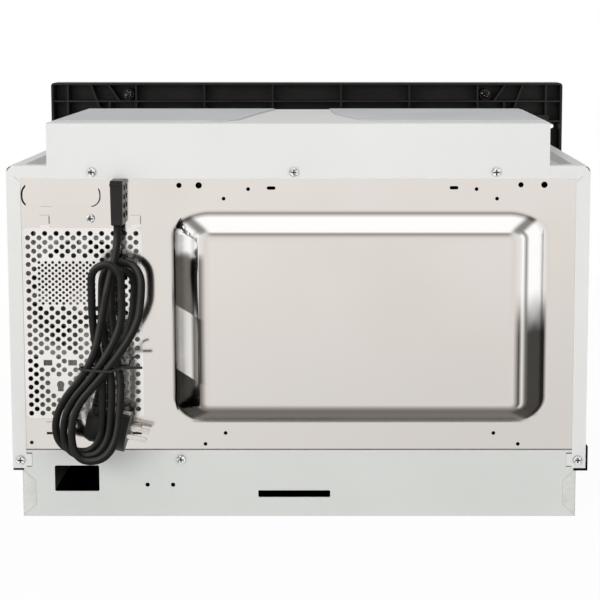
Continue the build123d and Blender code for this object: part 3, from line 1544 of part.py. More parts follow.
def hank_stations():
    """The places and headings that the cord passes, turn by turn, from the lead to the plug."""
    stations = [(behind_panel(lead_under), plug_entry_angle)]
    for turn in range(hank_turns):
        stations.append((behind_panel(front_cross, front_cross_step, turn), front_angle))
        stations.append((behind_panel(far_low, far_low_step, turn), -90))
        stations.append((behind_panel(lowest, lowest_step, turn), 180))
        stations.append((behind_panel(near_low, near_low_step, turn), 90))
        stations.append((behind_panel(back_cross, back_cross_step, turn), back_angle))
        if turn == 0:
            cap = loop_cap(first_loop_x, first_loop_z, first_loop_depth)
        else:
            nest = nest_step * (turn - 1)
            x = (outer_loop_x[0] - nest, outer_loop_x[1] + nest)
            z = (outer_loop_z[0], outer_loop_z[1] - nest)
            cap = loop_cap(x, z, outer_loop_depth if turn == 1 else inner_loop_depth)
        stations.extend((behind_panel(place), angle) for place, angle in cap)
    stations.append((behind_panel(last_cross), last_cross_angle))
    return stations


def hank_path():
    """The hank's centre line: a pair of tangent arcs from each station to the next."""
    lead = lead_points()
    start_way = (lead[-1] - lead[-2]).normalized()
    end_way = heading(plug_entry_angle, -tan(radians(plug_tilt)))
    end = behind_panel(plug_entry)
    points = [lead[-1] + start_way * cord_diameter]
    ways = [start_way]
    stations = hank_stations()
    places = [points[0]] + [place for place, angle in stations] + [end - end_way * cord_diameter]
    for number, (place, angle) in enumerate(stations, 1):
        before = place - places[number - 1]
        after = places[number + 1] - place
        climb = climb_share * (before + after).Y / (before.length + after.length)
        points.append(place)
        ways.append(heading(angle, climb))
    points.append(end - end_way * cord_diameter)
    ways.append(end_way)
    edges = [Edge.make_line(lead[-1], points[0])]
    for number in range(len(points) - 1):
        first, last = points[number], points[number + 1]
        way, way_on = ways[number], ways[number + 1]
        span = last - first
        both = span.dot(way + way_on)
        spread = 2 * (1 - way.dot(way_on))
        reach = (((both ** 2 + spread * span.dot(span)) ** 0.5) - both) / spread
        joint = (first + way * reach + last - way_on * reach) * 0.5
        edges.append(Edge.make_tangent_arc(first, way, joint))
        edges.append(Edge.make_tangent_arc(last, way_on * -1, joint))
    edges.append(Edge.make_line(points[-1], end))
    return Wire(edges)


def least_gap(path):
    """The least distance between two stretches of the cord that are not next to each other."""
    count = int(path.length / sample_step)
    spots = [path.position_at(number / count) for number in range(count + 1)]
    apart = int(3 * cord_diameter / sample_step)
    least = path.length
    for number, spot in enumerate(spots):
        for other in spots[number + apart:]:
            least = min(least, (other - spot).length)
    return least - cord_diameter


def cord_hank():
    """The tied hank: three turns of a figure of eight in one unbroken cord."""
    path = hank_path()
    print("hank length", round(path.length, 1), "least gap", round(least_gap(path), 2))
    lead = lead_points()
    return tube(path, lead[-1] - lead[-2])


def at_tie(place, angle):
    """Where the strand that passes a place at an angle crosses the tie's level."""
    return place + heading(angle) * ((tie_z - place.Z) / sin(radians(angle)))


def twist_tie():
    """The wire tie about the hank's waist, with its knot and two tails."""
    last_turn = hank_turns - 1
    corners = [
        at_tie(behind_panel(front_cross), front_angle),
        at_tie(behind_panel(front_cross, front_cross_step, last_turn), front_angle),
        at_tie(behind_panel(back_cross, back_cross_step, last_turn), back_angle),
        at_tie(behind_panel(last_cross), last_cross_angle),
    ]
    flat = Plane.XY.offset(tie_z)
    outline = Polyline(*[(corner.X, corner.Y) for corner in corners], close=True)
    ring = flat * offset(make_face(outline), tie_clearance, kind=Kind.ARC)
    path = ring.face().outer_wire()
    start = path.position_at(0)
    band = sweep(Plane(origin=start, z_dir=path.tangent_at(0)) * Circle(tie_radius), path=path)
    knot_x = corners[2].X - tie_clearance
    knot_y = corners[2].Y
    knot = rod_x(knot_y, tie_z, 2 * tie_radius, (knot_x - knot_length, knot_x + knot_bite))
    tail = rod_x(knot_y, tie_z - tail_drop, tie_radius, (knot_x - tail_reach, knot_x - knot_length))
    curl_start = Vector(knot_x - knot_length + tail_drop, knot_y, tie_z + tie_radius)
    curl = Edge.make_tangent_arc(curl_start, Vector(0, 0, 1), curl_start + Vector(-tail_curl, 0, tail_curl))
    tail_up = sweep(Plane(origin=curl_start, z_dir=(0, 0, 1)) * Circle(tie_radius * curl_share), path=curl)
    return band + knot + tail + tail_up


def plug_frame():
    """The plug's own plane on its face: X towards the cord's entry, Z along the pins."""
    entry_way = heading(plug_entry_angle, -tan(radians(plug_tilt)))
    pin_way = heading(plug_entry_angle - 90)
    centre = behind_panel(plug_entry) + entry_way * plug_axis_length + pin_way * plug_cord_back
    return Plane(origin=centre, x_dir=entry_way * -1, z_dir=pin_way)


def plug_body():
    """The moulded angled plug: a round face with two flats, a grip that narrows, and a ribbed boot."""
    face = Pos(0, 0, -plug_face_depth) * Cylinder(plug_radius, plug_face_depth,
                                                  align=(Align.CENTER, Align.CENTER, Align.MIN))
    face = face & Box(2 * plug_flat, 2 * plug_radius, 2 * plug_face_depth)
    grip_start = Plane.XY.offset(-plug_face_depth) * Circle(plug_grip_radius)
    grip_waist = Plane.XY.offset(grip_end_length - plug_grip_back) * RectangleRounded(
        plug_grip_tall, plug_grip_deep, grip_waist_corner)
    grip_end = Plane.XY.offset(-plug_grip_back) * RectangleRounded(
        plug_grip_tall - grip_end_taper, plug_grip_deep - grip_end_taper, grip_end_taper)
    grip = loft([grip_start, grip_waist]) + loft([grip_waist, grip_end], ruled=True)
    boot_start = plug_grip_tall / 2 - boot_sink
    boot_length = plug_axis_length - boot_start
    boot = Cone(boot_radius, boot_tip, boot_length, align=(Align.CENTER, Align.CENTER, Align.MIN))
    for number in range(boot_grooves):
        groove = boot_length * groove_start + number * groove_pitch
        ring = Cylinder(boot_radius + 1, groove_width) - Cylinder(boot_tip - groove_bite, groove_width)
        boot -= Pos(0, 0, groove) * ring
    boot = Pos(boot_start, 0, -plug_cord_back) * Rot(0, 90, 0) * boot
    return plug_frame().location * (face + grip + boot)


def plug_pins():
    """The two round pins, and the earth strips on the plug's flats."""
    place = plug_frame().location
    group = []
    for side in (-1, 1):
        pin = Cylinder(pin_radius, pin_length, align=(Align.CENTER, Align.CENTER, Align.MIN))
        pin = chamfer(pin.edges().group_by(Axis.Z)[-1], pin_chamfer)
        group.append(place * (Pos(0, side * pin_spacing / 2, 0) * pin))
        strip = Box(earth_sheet, earth_width, plug_face_depth - 1)
        group.append(place * (Pos(side * (plug_flat + earth_sheet / 2), 0, -plug_face_depth / 2) * strip))
    return group


# Screws
def case_screws():
    """The screws that show at the rear: duct flange, corners, panel, plinth, and two behind the frame."""
    group = []
    half_duct = duct_width / 2
    for x in (half_duct - duct_screw_right, duct_screw_middle, duct_screw_left - half_duct):
        group.append(pan_head(x, rear + case_sheet, cabinet_top - top_flange / 2))
    for side in (-1, 1):
        group.append(pan_head(side * (half_cabinet - side_flange / 2 - 1), rear, tab_centre))
    vent_top = vent_z + vent_height / 2
    group.append(pan_head(vent_x - vent_screw_shift, steel_outer, vent_top + vent_screw_rise))
    group.append(pan_head(plinth_screw_x, steel_outer, plinth_height - plinth_screw_drop))
    for side in (-1, 1):
        group.append(pan_head(side * frame_screw_x, frame_back - rib_wall, frame_top - frame_screw_drop,
                              frame_screw_radius,
                              frame_screw_height))
    return group


# Every sub-part under its name
parts = {
    "outer_cabinet": outer_cabinet(),
    "top_air_duct": top_air_duct(),
    "rear_panel": rear_panel(),
    "vent_grille": vent_grille(),
    "base_plinth": base_plinth(),
    "base_plate": base_plate(),
    "front_frame": front_frame(),
    "case_screws": case_screws(),
    "cord_anchor": cord_anchor(),
    "power_cord": power_cord(),
    "cord_hank": cord_hank(),
    "twist_tie": twist_tie(),
    "plug_body": plug_body(),
    "plug_pins": plug_pins(),
    "door_frame": door_frame(),
    "door_glass": door_glass(),
    "door_inner_panel": door_inner_panel(),
    "door_inner_window": door_inner_window(),
    "choke_cover": choke_cover(),
    "latch_hooks": latch_hooks(),
    "latch_spring": latch_spring(),
    "hinge_brackets": hinge_brackets(),
    "control_panel": control_panel(),
    "display_window": display_window(),
    "control_knob": control_knob(),
    "knob_encoder": knob_encoder(),
    "door_open_button": door_open_button(),
    "door_open_lever": door_open_lever(),
    "control_board": control_board(),
    "cavity_liner": cavity_liner(),
    "waveguide": waveguide(),
    "waveguide_cover": waveguide_cover(),
    "magnetron": magnetron(),
    "magnetron_fins": magnetron_fins(),
    "transformer_core": transformer_core(),
    "transformer_windings": transformer_windings(),
    "capacitor": capacitor(),
    "capacitor_clamp": capacitor_clamp(),
    "fan_housing": fan_housing(),
    "fan_motor": fan_motor(),
    "fan_rotor": fan_rotor(),
    "air_guide": air_guide(),
    "filter_board": filter_board(),
    "cavity_lamp": cavity_lamp(),
    "thermal_cutouts": thermal_cutouts(),
    "interlock_bracket": interlock_bracket(),
    "interlock_switches": interlock_switches(),
    "turntable_motor": turntable_motor(),
    "turntable_coupler": turntable_coupler(),
    "roller_ring": roller_ring(),
    "glass_tray": glass_tray(),
}
for number, (x, z) in enumerate(button_places(), 1):
    parts[f"push_button_{number}"] = push_button(x, z)
for number, angle in enumerate(roller_angles(), 1):
    parts[f"roller_{number}"] = roller(angle)

os.makedirs("parts", exist_ok=True)
for name, shape in parts.items():
    solid = Compound(children=list(shape)) if isinstance(shape, list) else shape
    export_step(solid, f"parts/{name}.step")
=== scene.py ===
# %% [markdown]
# # A built-in microwave from behind
# The oven stands with its back to the camera, as it does on a bench before it goes into its niche.
# The construction comes packed from the CAD part. This lesson gives it light, finishes, and the pieces
# that are too soft or too fine for the CAD: the cord, its block and the folded edges; the drawn steel
# sheet gets its finish.

# %% Load the imported model
from math import radians

import bmesh
import bpy
from mathutils import Matrix, Vector


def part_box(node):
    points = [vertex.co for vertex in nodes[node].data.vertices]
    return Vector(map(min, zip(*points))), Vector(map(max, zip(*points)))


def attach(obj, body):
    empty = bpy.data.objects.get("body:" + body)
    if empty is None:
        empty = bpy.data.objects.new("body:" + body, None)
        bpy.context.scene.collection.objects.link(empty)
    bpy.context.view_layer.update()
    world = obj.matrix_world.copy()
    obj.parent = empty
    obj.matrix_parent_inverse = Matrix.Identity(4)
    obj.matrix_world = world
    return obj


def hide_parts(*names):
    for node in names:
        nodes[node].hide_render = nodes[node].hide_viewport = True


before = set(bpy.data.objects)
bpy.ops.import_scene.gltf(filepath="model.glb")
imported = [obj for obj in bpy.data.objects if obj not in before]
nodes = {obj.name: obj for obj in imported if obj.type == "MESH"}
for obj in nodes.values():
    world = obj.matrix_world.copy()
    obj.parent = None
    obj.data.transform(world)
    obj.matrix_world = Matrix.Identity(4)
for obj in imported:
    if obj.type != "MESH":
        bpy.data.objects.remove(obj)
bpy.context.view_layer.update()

MM = 0.001
print(len(nodes), "nodes loaded")

# %% [markdown]
# ## Camera
# The photograph was taken square on, from a little above the roof, and its upright lines stay upright.
# A shifted lens does that. The full shift would push the object out of the frame in every other view,
# so part of it is a small tilt, and the lens and the distance are set so that the corners still agree.

# %% Camera
camera_place = Vector((-41.0, 1679.5, 469.2)) * MM
camera_tilt = 6.65
camera_lens = 95.4

camera_data = bpy.data.cameras.new("bench_camera")
camera_data.lens = camera_lens
camera_data.sensor_width = 36.0
camera_data.shift_x = -0.07
camera_data.shift_y = -0.15
camera_data.clip_start = 0.01
camera_data.clip_end = 50.0
camera = bpy.data.objects.new("bench_camera", camera_data)
camera.location = camera_place
camera.rotation_euler = (radians(90 - camera_tilt), 0, radians(180))
bpy.context.scene.collection.objects.link(camera)
bpy.context.scene.camera = camera
print("camera at", [round(value, 2) for value in camera_place], "m, tilted by", camera_tilt, "degrees")

# %% [markdown]
# ## Cord
# The mains cord leaves the moulded block at the top, leans outward, and goes round a figure of eight
# three times before it enters the plug. One smooth spline carries it all. Each turn has fourteen
# control points, and each point moves by the same step from one turn to the next, so the turns lie
# side by side. Only the upper half of the first turn has places of its own.

# %% The cord's route
panel_face = 195.2
cord_diameter = 7.2

lead_in = [
    (168.3, 283.2, 15.5), (168.3, 271.5, 14.5), (169.6, 251.9, 27.9), (174.3, 231.7, 40.6),
    (179.6, 202.4, 42.1),
]
lower_loop = [
    ((187.9, 158.6, 50.4), (-5.95, -3.55, 2.75)),
    ((227.7, 111.5, 31.6), (-8.4, 0.2, 6.7)),
    ((225.9, 72.9, 27.1), (-9.4, -3.95, 11.15)),
    ((183.0, 72.2, 38.8), (-7.35, -0.25, 6.8)),
    ((179.5, 134.9, 43.1), (-8.6, 0.05, 0.75)),
    ((183.6, 157.7, 37.4), (-8.4, 0.0, 0.05)),
]
first_upper_loop = [
    (189.9, 190.5, 35.4), (190.0, 228.0, 37.4), (189.6, 242.2, 38.6), (180.8, 250.6, 43.9),
    (170.2, 250.6, 44.1), (161.4, 242.2, 46.7), (161.0, 228.0, 47.5), (160.5, 193.6, 49.0),
]
nested_upper_loop = [
    ((182.6, 195.1, 27.1), (-8.8, 0.0, -3.4)),
    ((183.0, 220.0, 21.4), (-8.6, 3.0, -4.2)),
    ((182.2, 238.6, 20.9), (-8.6, -4.2, -4.2)),
    ((171.8, 249.4, 20.9), (-4.5, -8.9, -3.4)),
    ((156.0, 249.6, 19.7), (3.1, -9.1, -2.7)),
    ((144.8, 238.8, 29.2), (8.4, -4.4, -12.3)),
    ((144.0, 220.6, 37.2), (8.8, 2.4, -20.3)),
    ((146.8, 192.9, 47.3), (8.4, -2.5, -26.3)),
]
lead_out = [(172.1, 159.3, 27.1), (181.5, 144.8, 29.7), (183.0, 135.2, 28.0)]


def behind(place):
    """A point in metres from its X, Z and distance behind the steel, in millimetres."""
    x, z, depth = place
    return Vector((x, panel_face + depth, z)) * MM


def stepped(pairs, turn):
    """The places of one turn: each base place moved on by its step."""
    return [tuple(value + turn * change for value, change in zip(base, step)) for base, step in pairs]


cord_route = list(lead_in)
for turn in range(3):
    cord_route += stepped(lower_loop, turn)
    cord_route += first_upper_loop if turn == 0 else stepped(nested_upper_loop, turn - 1)
cord_route += lead_out
print(len(cord_route), "control points in the cord")

# %% The cord as one spline
cord_curve = bpy.data.curves.new("mains_cord", "CURVE")
cord_curve.dimensions = "3D"
cord_curve.bevel_depth = cord_diameter / 2 * MM
cord_curve.bevel_resolution = 5
cord_curve.resolution_u = 14
cord_curve.use_fill_caps = True
spline = cord_curve.splines.new("NURBS")
spline.points.add(len(cord_route) - 1)
for point, place in zip(spline.points, cord_route):
    point.co = (*behind(place), 1.0)
spline.order_u = 3
spline.use_endpoint_u = True
mains_cord = bpy.data.objects.new("mains_cord", cord_curve)
bpy.context.scene.collection.objects.link(mains_cord)
print("one spline,", cord_diameter, "mm thick")

# %% [markdown]
# ## A small kit
# Every material is a few nodes on the Principled shader. One function adds any node, sets its inputs and
# links it, and another turns a colour as it is written for a screen into the linear one that Blender uses.

# %% Helpers for materials
MATH, RAMP, MIX, STEP = "ShaderNodeMath", "ShaderNodeValToRGB", "ShaderNodeMix", "ShaderNodeMapRange"


def linear(code):
    """The linear colour of an sRGB hex code such as D9D6D2."""
    values = [int(code[at:at + 2], 16) / 255 for at in (0, 2, 4)]
    values = [value / 12.92 if value <= 0.04045 else ((value + 0.055) / 1.055) ** 2.4 for value in values]
    return (*values, 1.0)


def add(tree, kind, inputs=None, stops=(), **settings):
    """Adds a node. A node or output given as an input is linked, a hex code is set as its colour, and any
    other value as it is. Stops are the (position, hex) pairs of a ramp."""
    made = tree.nodes.new(kind)
    for name, value in settings.items():
        setattr(made, name, value)
    for name, value in (inputs or {}).items():
        if isinstance(value, bpy.types.Node):
            value = next(socket for socket in value.outputs if socket.enabled)
        if isinstance(value, bpy.types.NodeSocket):
            tree.links.new(value, made.inputs[name])
        else:
            made.inputs[name].default_value = linear(value) if isinstance(value, str) else value
    if stops:
        elements = made.color_ramp.elements
        elements[0].position, elements[0].color = stops[0][0], linear(stops[0][1])
        elements[1].position, elements[1].color = stops[-1][0], linear(stops[-1][1])
        for position, colour in stops[1:-1]:
            elements.new(position).color = linear(colour)
    return made


def new_material(name, **values):
    """A material whose Principled shader's sockets take the values; returns it, its tree and the shader."""
    material = bpy.data.materials.new(name)
    material.use_nodes = True
    tree = material.node_tree
    shader = tree.nodes["Principled BSDF"]
    for socket, value in values.items():
        shader.inputs[socket.replace("_", " ")].default_value = value
    return material, tree, shader


def mottle(tree, shader, first, second, scale, low=0.35, high=0.65, stretch=(1, 1, 1)):
    """Lets the base colour drift between two tones with a noise of the given scale, in patches per metre."""
    place = add(tree, "ShaderNodeTexCoord").outputs["Object"]
    place = add(tree, "ShaderNodeMapping", {"Vector": place, "Scale": stretch}).outputs["Vector"]
    noise = add(tree, "ShaderNodeTexNoise", {"Vector": place, "Scale": scale, "Detail": 4.0})
    ramp = add(tree, RAMP, {"Fac": noise.outputs["Fac"]}, [(low, first), (high, second)])
    tree.links.new(ramp.outputs["Color"], shader.inputs["Base Color"])
    return place


def grain(tree, shader, place, scale, depth_mm, strength):
    """Gives the surface a fine relief of the given depth."""
    noise = add(tree, "ShaderNodeTexNoise", {"Vector": place, "Scale": scale, "Detail": 3.0})
    bump = add(tree, "ShaderNodeBump", {
        "Height": noise.outputs["Fac"], "Distance": depth_mm * MM, "Strength": strength})
    tree.links.new(bump.outputs["Normal"], shader.inputs["Normal"])


def patches(millimetres):
    """The noise scale for patches of this size."""
    return 1 / (millimetres * MM)


def dress(material, *names):
    """Puts one material on each named node, in every slot."""
    for name in names:
        mesh = nodes[name].data
        if not mesh.materials:
            mesh.materials.append(material)
        for slot in range(len(mesh.materials)):
            mesh.materials[slot] = material


print("material helpers ready; white in linear light is", linear("FFFFFF")[0])

# %% [markdown]
# ## White powder coat
# The wrap and the roof duct are steel sheet, sprayed with white polyester powder and baked. The powder
# flows into a smooth skin with a faint orange peel, a few millimetres from crest to crest, so a soft
# noise bump gives the skin and a nearly flat base colour keeps it clean.

# %% Powder coat
powder_coat, tree, shader = new_material("white_powder_coat", Roughness=0.42, Specular_IOR_Level=0.45)
place = mottle(tree, shader, "E0E0DE", "E4E4E2", patches(180))
grain(tree, shader, place, patches(2.4), 0.05, 0.25)
dress(powder_coat, "outer_cabinet", "top_air_duct")

plinth_coat, tree, shader = new_material("grey_powder_coat", Roughness=0.5, Specular_IOR_Level=0.4)
place = mottle(tree, shader, "D5D7D4", "D9DBD8", patches(160))
grain(tree, shader, place, patches(2.2), 0.05, 0.25)
dress(plinth_coat, "base_plinth")
print("coated: cabinet, duct and plinth")

# %% [markdown]
# ## Bright annealed stainless
# The rear wall is ferritic stainless with a bright annealed finish: nearly a mirror, warm in tone, with
# the long shallow waves that a thin sheet keeps after pressing. In a white room such a wall mirrors white
# and looks like paper. What tells the eye that it is drawn steel are the dark and bright streaks of
# reflection that follow the creases of the bulge, pale above and dark below, with one pale patch on the
# left. They could come from black cards round the oven, but then they would be lost in other light, so
# they are painted reflections in the sheet's colour: the tone is read from how far a point lies down the
# slope of the bulge. Six tones are enough, always at the same five places, from the edge of the crown to
# the foot. The flat sheet gets painted reflection too: a little darker towards the bottom, lighter
# towards the left.

# %% Distance down the slope of the bulge
bulge_middle = (-57.5, 194.0)
crown_half_width, crown_half_height, crown_corner = 149.0, 86.0, 9.0
slope_across, slope_up, slope_unit = 26.0, 17.0, 24.0
ramp_start, ramp_length = -18.0, 48.0


def place_on_bulge(tree, x, z):
    """Where a point lies: how far down the slope (0 at the crown's edge, 24 at the foot, rounded at the
    corners), how much more sideways than upward, and how deep in a corner."""
    past, reaches, squares = [], [], []
    for place, middle, half, slope in ((x, bulge_middle[0], crown_half_width, slope_across),
                                       (z, bulge_middle[1], crown_half_height, slope_up)):
        away = add(tree, MATH, {0: place, 1: middle}, operation="SUBTRACT")
        away = add(tree, MATH, {0: away}, operation="ABSOLUTE")
        past.append(add(tree, MATH, {0: away, 1: half - crown_corner}, operation="SUBTRACT"))
        reaches.append(add(tree, MATH, {0: past[-1], 1: slope_unit / slope}, operation="MULTIPLY"))
        outward = add(tree, MATH, {0: reaches[-1], 1: 0.0}, operation="MAXIMUM")
        squares.append(add(tree, MATH, {0: outward, 1: 2.0}, operation="POWER"))
    inner = add(tree, MATH, {0: reaches[0], 1: reaches[1]}, operation="MAXIMUM")
    inner = add(tree, MATH, {0: inner, 1: 0.0}, operation="MINIMUM")
    reach = add(tree, MATH, {0: squares[0], 1: squares[1]}, operation="ADD")
    reach = add(tree, MATH, {0: reach}, operation="SQRT")
    reach = add(tree, MATH, {0: reach, 1: inner}, operation="ADD")
    down = add(tree, MATH, {0: reach, 1: crown_corner}, operation="SUBTRACT")
    turned = add(tree, MATH, {0: reaches[0], 1: reaches[1]}, operation="SUBTRACT")
    cornered = add(tree, MATH, {0: past[0], 1: past[1]}, operation="MINIMUM")
    return down, turned, cornered


print("bulge slopes are", slope_across, "and", slope_up, "mm wide")

# %% Painted reflections on the slopes
flat_tone = "DAD3CD"
# Six tones of painted reflection, from white to black.
white, pale, grey, slate, dark, black = "FEFDFC", "E4E1DD", "908B86", "726D68", "403D39", "1A1917"


def painted_slope_ramp(crown_edge, shine, crease, slope, foot):
    """One side's ramp of painted reflection, with its tones at the same places on every side, in millimetres
    down the slope.
    """
    tones = [(-6, flat_tone), (-1, crown_edge), (2, shine), (5, crease), (8, slope), (18, slope), (23, foot),
             (26, flat_tone)]
    return [((distance - ramp_start) / ramp_length, colour) for distance, colour in tones]


# Each side's ramp paints its reflection: bright above, dark below, with a pale patch on the left.
left_high = painted_slope_ramp(pale, white, pale, white, dark)
left_middle = painted_slope_ramp(slate, white, dark, slate, dark)
left_low = painted_slope_ramp(slate, grey, dark, dark, black)
painted_left_patch = painted_slope_ramp(dark, grey, slate, pale, black)
right_high = painted_slope_ramp(pale, white, grey, white, pale)
right_low = painted_slope_ramp(dark, pale, slate, dark, black)
top_tones = painted_slope_ramp(grey, white, white, white, grey)
bottom_tones = painted_slope_ramp(grey, slate, slate, slate, grey)
upper_corner = painted_slope_ramp(pale, grey, slate, slate, dark)
lower_corner = painted_slope_ramp(grey, slate, dark, dark, black)
print("ten ramps made of six tones")

# %% Stainless: flat sheet
soft = {"interpolation_type": "SMOOTHSTEP"}
bright_steel, tree, shader = new_material("bright_annealed_stainless", Metallic=1.0, Roughness=0.1)
place = add(tree, "ShaderNodeTexCoord").outputs["Object"]
axes = add(tree, "ShaderNodeSeparateXYZ", {"Vector": place})
x_mm = add(tree, MATH, {0: axes.outputs["X"], 1: 1000.0}, operation="MULTIPLY")
z_mm = add(tree, MATH, {0: axes.outputs["Z"], 1: 1000.0}, operation="MULTIPLY")

sheet_drift = add(tree, "ShaderNodeTexNoise", {"Vector": place, "Scale": patches(120), "Detail": 2.0})
flat_sheet = add(tree, RAMP, {"Fac": sheet_drift.outputs["Fac"]},
                 [(0.35, "DDD6D0"), (0.5, "E0DAD2"), (0.65, "E2DCD8")])
# Painted reflection on the flat sheet: darker towards the bottom, lighter towards the left.
lower = add(tree, STEP, {"Value": z_mm, "From Min": 330.0, "From Max": 70.0}, **soft)
flat_sheet = add(tree, MIX, {"Factor": lower, 6: flat_sheet, 7: "D4CFCA"}, data_type="RGBA")
painted_light_left = add(tree, STEP, {"Value": x_mm, "From Min": -250.0, "From Max": 270.0}, **soft)
painted_light_left = add(tree, MATH, {0: painted_light_left, 1: 0.35}, operation="MULTIPLY")
flat_sheet = add(tree, MIX, {"Factor": painted_light_left, 6: flat_sheet, 7: "ECE7E3"}, data_type="RGBA")
print("flat sheet toned")

# %% Stainless: painted reflections on the slopes
down, turned, cornered = place_on_bulge(tree, x_mm, z_mm)
fraction = add(tree, MATH, {0: down, 1: ramp_start}, operation="SUBTRACT")
fraction = add(tree, MATH, {0: fraction, 1: ramp_length}, operation="DIVIDE")


def over(tree, share_from, share_to, level, beneath, above):
    """Two layers of tone, each a node or a ramp's stops; past the range the level bares the second."""
    share = add(tree, STEP, {"Value": level, "From Min": share_from, "From Max": share_to}, **soft)
    layers = [add(tree, RAMP, {"Fac": fraction}, tone) if isinstance(tone, list) else tone
              for tone in (beneath, above)]
    return add(tree, MIX, {"Factor": share, 6: layers[0], 7: layers[1]}, data_type="RGBA")


wobble = add(tree, "ShaderNodeTexNoise", {"Vector": place, "Scale": patches(22), "Detail": 1.0})
wobble = add(tree, MATH, {0: wobble.outputs["Fac"], 1: 14.0}, operation="MULTIPLY")
level = add(tree, MATH, {0: z_mm, 1: wobble}, operation="ADD")
# The pairs of numbers are heights in millimetres between which one ramp gives way to the next.
left_side = over(tree, 266.0, 258.0, level, left_high, left_middle)
left_side = over(tree, 190.0, 176.0, level, left_side, left_low)
right_side = over(tree, 232.0, 186.0, level, right_high, right_low)

# The pale patch of painted reflection has slanted ends, so its level drops towards the foot of the slope.
patch_middle, patch_rise = 104.0, 0.38
patch_slant = add(tree, MATH, {0: x_mm, 1: patch_middle}, operation="SUBTRACT")
patch_slant = add(tree, MATH, {0: patch_slant, 1: patch_rise}, operation="MULTIPLY")
patch_level = add(tree, MATH, {0: z_mm, 1: patch_slant}, operation="SUBTRACT")
patch_foot = add(tree, STEP, {"Value": patch_level, "From Min": 139.5, "From Max": 140.6}, **soft)
patch_head = add(tree, STEP, {"Value": patch_level, "From Min": 202.0, "From Max": 200.8}, **soft)
patch_share = add(tree, MATH, {0: patch_foot, 1: patch_head}, operation="MULTIPLY")
patch_tones = add(tree, RAMP, {"Fac": fraction}, painted_left_patch)
left_side = add(tree, MIX, {"Factor": patch_share, 6: left_side, 7: patch_tones}, data_type="RGBA")

middle_x, middle_z = bulge_middle
sides = over(tree, middle_x - 1, middle_x + 1, x_mm, right_side, left_side)
over_under = over(tree, middle_z + 1, middle_z - 1, z_mm, top_tones, bottom_tones)
slopes = over(tree, -4.0, 2.0, turned, over_under, sides)
print("four sides toned")

# %% Stainless: painted corner reflections, relief and finish
# The corners of the bulge get a painted reflection of their own, darker along each corner's diagonal.
off_diagonal = add(tree, MATH, {0: turned, 1: 5.0}, operation="ADD")
off_diagonal = add(tree, MATH, {0: off_diagonal}, operation="ABSOLUTE")
near_diagonal = add(tree, STEP, {"Value": off_diagonal, "From Min": 11.0, "From Max": 2.0}, **soft)
in_corner = add(tree, STEP, {"Value": cornered, "From Min": -4.0, "From Max": 5.0}, **soft)
corner_shade = add(tree, MATH, {0: near_diagonal, 1: in_corner}, operation="MULTIPLY")
corner_shade = add(tree, MATH, {0: corner_shade, 1: 0.9}, operation="MULTIPLY")
painted_corner_reflections = over(tree, middle_z + 1, middle_z - 1, z_mm, upper_corner, lower_corner)
slopes = add(tree, MIX, {"Factor": corner_shade, 6: slopes, 7: painted_corner_reflections}, data_type="RGBA")
past_crown = add(tree, STEP, {"Value": fraction, "From Min": 0.13, "From Max": 0.27}, **soft)
before_foot = add(tree, STEP, {"Value": fraction, "From Min": 0.97, "From Max": 0.9}, **soft)
on_slope = add(tree, MATH, {0: past_crown, 1: before_foot}, operation="MULTIPLY")
whole_sheet = add(tree, MIX, {"Factor": on_slope, 6: flat_sheet, 7: slopes}, data_type="RGBA")
tree.links.new(whole_sheet.outputs[2], shader.inputs["Base Color"])

fine = add(tree, "ShaderNodeMapping", {"Vector": place, "Scale": (0.05, 1.0, 1.0)})
rolled = add(tree, "ShaderNodeTexNoise", {"Vector": fine, "Scale": patches(0.9), "Detail": 2.0})
waves = add(tree, "ShaderNodeTexNoise", {"Vector": place, "Scale": patches(95), "Detail": 1.0})
# The press leaves a softer shoulder than straight slopes have. The steep slopes above and below are shaded
# as if they leaned towards the flat, or the upper one would mirror the duct and its screws.
lean_per_tilt = 0.44
own_normal = add(tree, "ShaderNodeNewGeometry").outputs["True Normal"]
tilt = add(tree, "ShaderNodeSeparateXYZ", {"Vector": own_normal})
lean = add(tree, MATH, {0: tilt.outputs["Z"]}, operation="ABSOLUTE")
lean = add(tree, MATH, {0: lean, 1: lean_per_tilt}, operation="MULTIPLY")
lean = add(tree, "ShaderNodeCombineXYZ", {"Y": lean})
leaning = add(tree, "ShaderNodeVectorMath", {0: own_normal, 1: lean}, operation="ADD")
eased = add(tree, "ShaderNodeVectorMath", {0: leaning}, operation="NORMALIZE")
grain_bump = add(tree, "ShaderNodeBump", {
    "Height": rolled.outputs["Fac"], "Distance": 0.004 * MM, "Strength": 0.5, "Normal": eased})
wave_bump = add(tree, "ShaderNodeBump", {
    "Height": waves.outputs["Fac"], "Distance": 0.5 * MM, "Strength": 0.35, "Normal": grain_bump})
tree.links.new(wave_bump.outputs["Normal"], shader.inputs["Normal"])
dress(bright_steel, "rear_panel")
print(len(tree.nodes), "nodes in the stainless")

# %% Perforated sheet
perforated, tree, shader = new_material("perforated_stainless", Metallic=1.0, Roughness=0.16)
place = mottle(tree, shader, "E6E2DE", "F0EDEA", patches(30))
grain(tree, shader, place, patches(3), 0.03, 0.3)
dress(perforated, "vent_grille")
print("vent field dressed")

# %% [markdown]
# ## Black moulded ABS
# The front frame is moulded in black ABS. Up close it has the fine spark-eroded grain of its mould, and its
# ribs catch the light on their edges, so it is satin and not matt. The other plastics are made the same
# way, each with its own pair of tones and its own gloss.

# %% Moulded plastics
def moulding(name, first, second, roughness, grain_mm=0.7, depth=0.03, gloss=0.5):
    """A moulded plastic: two close tones and the grain of the mould."""
    material, tree, shader = new_material(name, Roughness=roughness, Specular_IOR_Level=gloss)
    place = mottle(tree, shader, first, second, patches(30))
    grain(tree, shader, place, patches(grain_mm), depth, 0.4)
    return material


